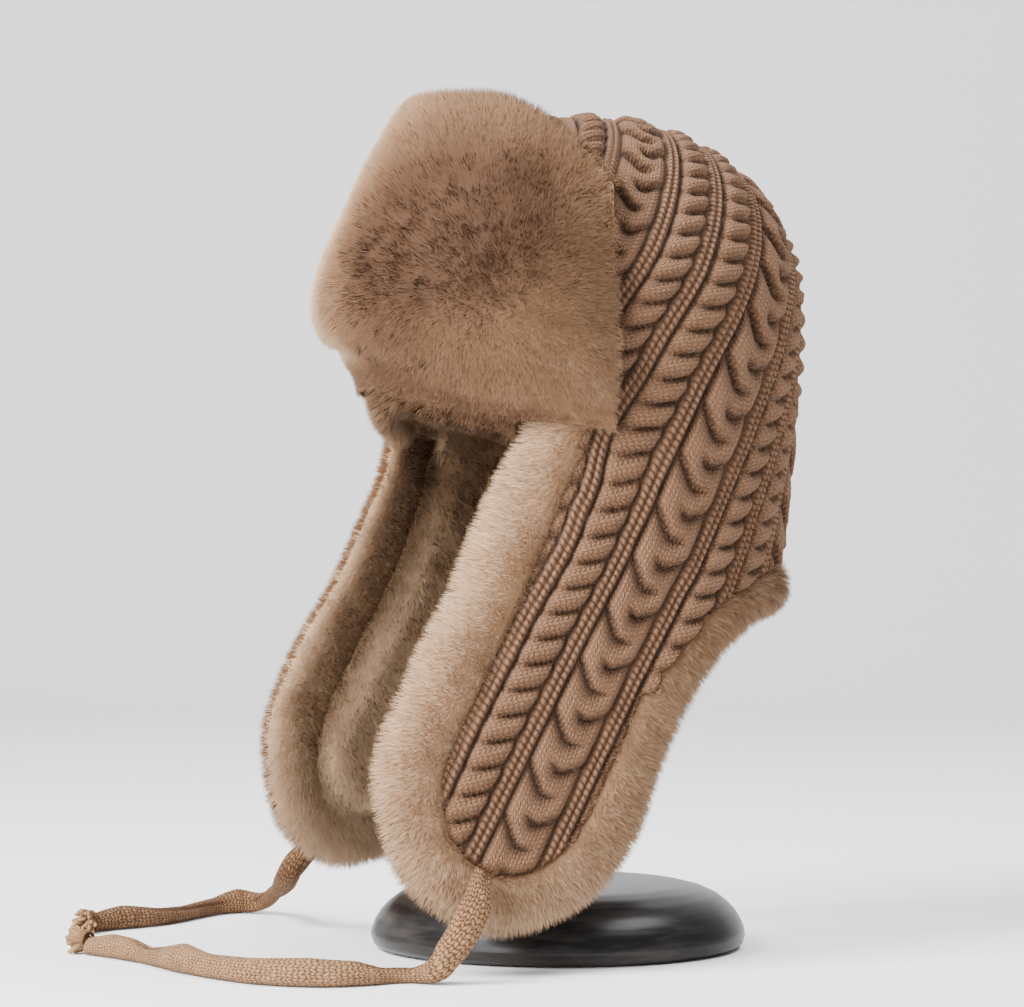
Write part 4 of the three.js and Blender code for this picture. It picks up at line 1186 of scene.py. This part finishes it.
def makeBrowRoll(look, material):
    # An ellipse carried along the brow from temple to temple.
    share = np.linspace(-1, 1, brow["steps"])
    across = panel["browCentre"] + (brow["end"] - panel["browCentre"]) * np.abs(share)
    along = waistAlong(across)
    right, rightNormal = sunkPoint(-1, across, along, brow["sink"])
    left, leftNormal = sunkPoint(1, across, along, brow["sink"])
    middle = np.where(share[:, None] < 0, right, left)
    normal = np.where(share[:, None] < 0, rightNormal, leftNormal)
    middle[:, 2] += brow["raised"]
    deep, drop = brow["depth"] - look["inset"], brow["drop"] - look["inset"]
    grid = ringsRound(middle, normal, upward[None], deep, drop, ringAngles(brow["sides"])[None])
    rng = np.random.default_rng(51)
    comb = np.broadcast_to(normal[:, None] * 0.4, grid.shape) - upward * 0.5
    roots, normals, combs = furRoots(grid, comb, np.ones(grid.shape[:2]), brow["hairs"], rng)
    hairs = makeHairs(roots, normals * outwardSign(grid, 10, 0, normal[10]), combs, look, rng)

    def shadeAt(p):
        # Painted shade: darker towards the near end, which lies deeper under the visor.
        return -0.3 - 1.2 * smooth(-60, 30, p[:, 0])

    return furryTube("browFur", grid, hairs, look, material, shadeAt)


piece = makeBrowRoll(furLook, furMaterial)
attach(piece, "root")
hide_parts("brow_roll")
print("brow roll made")


# Stand: a turned disc in a satin dark finish; the hidden post keeps its solid.
stand = {
    "centreY": 5.7, "sides": 112, "rings": 40,
    "profile": np.array([
        (0, 0), (77.5, 0), (79, 0.2), (82, 1.0), (84, 2.7), (85, 6), (84.6, 9), (83, 13), (80.5, 17),
        (77, 20.6), (72.5, 24), (66, 26.9), (58, 28.8), (45, 29.7), (30, 30.1), (0, 30.2),
    ]),
    "dark": (0.006, 0.0055, 0.006), "pale": (0.045, 0.039, 0.035),
}


def makeStandBase(material):
    # The profile turned about the stand's axis.
    radius, height = stand["profile"][1:-1].T
    fine = np.linspace(0, len(radius) - 1, stand["rings"])
    radius, height = (np.interp(fine, np.arange(len(row)), row) for row in (radius, height))
    angle = ringAngles(stand["sides"])
    across = stand["centreY"] + radius[:, None] * np.sin(angle)
    rings = np.stack([radius[:, None] * np.cos(angle), across,
                      np.broadcast_to(height[:, None], across.shape)], -1)
    points = closedTube(rings)
    points[-1, 2] = stand["profile"][-1, 1]
    return makePiece("standDisc", points, outwardFaces(points, tubeFaces(*across.shape)), material)


def makeStandMaterial(look):
    # A satin dark finish with faint streaks, as of dark wood.
    material, tree, shader = newMaterial("satinStand", {"Roughness": 0.3, "Specular IOR Level": 0.2})
    inputs = {"Vector": objectPlace(tree), "Scale": (9.0, 9.0, 60.0)}
    stretched = addNode(tree, "ShaderNodeMapping", None, inputs).outputs["Vector"]
    inputs = {"Vector": stretched, "Scale": 2.2, "Detail": 6.0, "Roughness": 0.65}
    streaks = addNode(tree, "ShaderNodeTexNoise", None, inputs).outputs["Fac"]
    color = ramp(tree, streaks, [(0.42, look["dark"]), (0.75, look["pale"])])
    tree.links.new(color, shader.inputs["Base Color"])
    return material


standMaterial = makeStandMaterial(stand)
piece = makeStandBase(standMaterial)
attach(piece, "root")
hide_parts("stand_base")
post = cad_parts["stand_post"]
post.data.materials.clear()
post.data.materials.append(standMaterial)
print("stand made")


# Pale floor that curves up into a backdrop, and soft light.
room = {
    "color": (0.9, 0.895, 0.9), "back": 2600.0, "wide": 6000.0, "front": 4000.0, "bend": 900.0,
    "tall": 4200.0, "skyColor": (0.95, 0.96, 1.0, 1), "skyStrength": 0.58, "lightTarget": (0, 0, 0.2),
}
lights = [
    {"name": "key", "azimuth": 10, "elevation": 42, "distance": 1.9, "size": 1.0, "power": 108},
    {"name": "top", "azimuth": 145, "elevation": 64, "distance": 1.9, "size": 1.1, "power": 44},
    {"name": "low", "azimuth": 22, "elevation": 8, "distance": 2.0, "size": 1.0, "power": 44},
    {"name": "back", "azimuth": 235, "elevation": 60, "distance": 2.0, "size": 1.4, "power": 14},
]


def makeRoom():
    # A flat floor, a quarter bend and an upright back, drawn as one profile across the view.
    a = math.radians(camera["azimuth"])
    away = np.array([-math.sin(a), math.cos(a), 0.0])
    across = np.array([away[1], -away[0], 0.0])
    bend = np.linspace(0, np.pi / 2, 24)
    corner = room["back"] - room["bend"] + room["bend"] * np.sin(bend)
    run = np.concatenate([[-room["front"]], corner, [room["back"]]])
    rise = np.concatenate([[0], room["bend"] * (1 - np.cos(bend)), [room["tall"]]])
    line = run[:, None] * away + rise[:, None] * upward
    points = np.concatenate([line - across * room["wide"] / 2, line + across * room["wide"] / 2])
    count = len(line)
    k = np.arange(count - 1)
    material = newMaterial("paleFloor", {"Roughness": 0.9, "Base Color": (*room["color"], 1)})[0]
    floor = makePiece("floor", points, np.stack([k, k + count, k + count + 1, k + 1], -1), material)


def makeLights():
    # Square lights that face the hat's middle, and an even pale sky. Distances are in metres.
    target = Vector(room["lightTarget"])
    for item in lights:
        data = bpy.data.lights.new(item["name"], "AREA")
        data.size = item["size"]
        data.energy = item["power"]
        lamp = bpy.data.objects.new(item["name"], data)
        a, e = math.radians(item["azimuth"]), math.radians(item["elevation"])
        way = Vector((math.sin(a) * math.cos(e), -math.cos(a) * math.cos(e), math.sin(e)))
        lamp.location = target + way * item["distance"]
        lamp.rotation_euler = (-way).to_track_quat("-Z", "Y").to_euler()
        bpy.context.scene.collection.objects.link(lamp)
    world = bpy.data.worlds.new("softWorld")
    world.use_nodes = True
    sky = world.node_tree.nodes["Background"].inputs
    sky["Color"].default_value = room["skyColor"]
    sky["Strength"].default_value = room["skyStrength"]
    bpy.context.scene.world = world


makeRoom()
makeLights()
print("room and lights made")
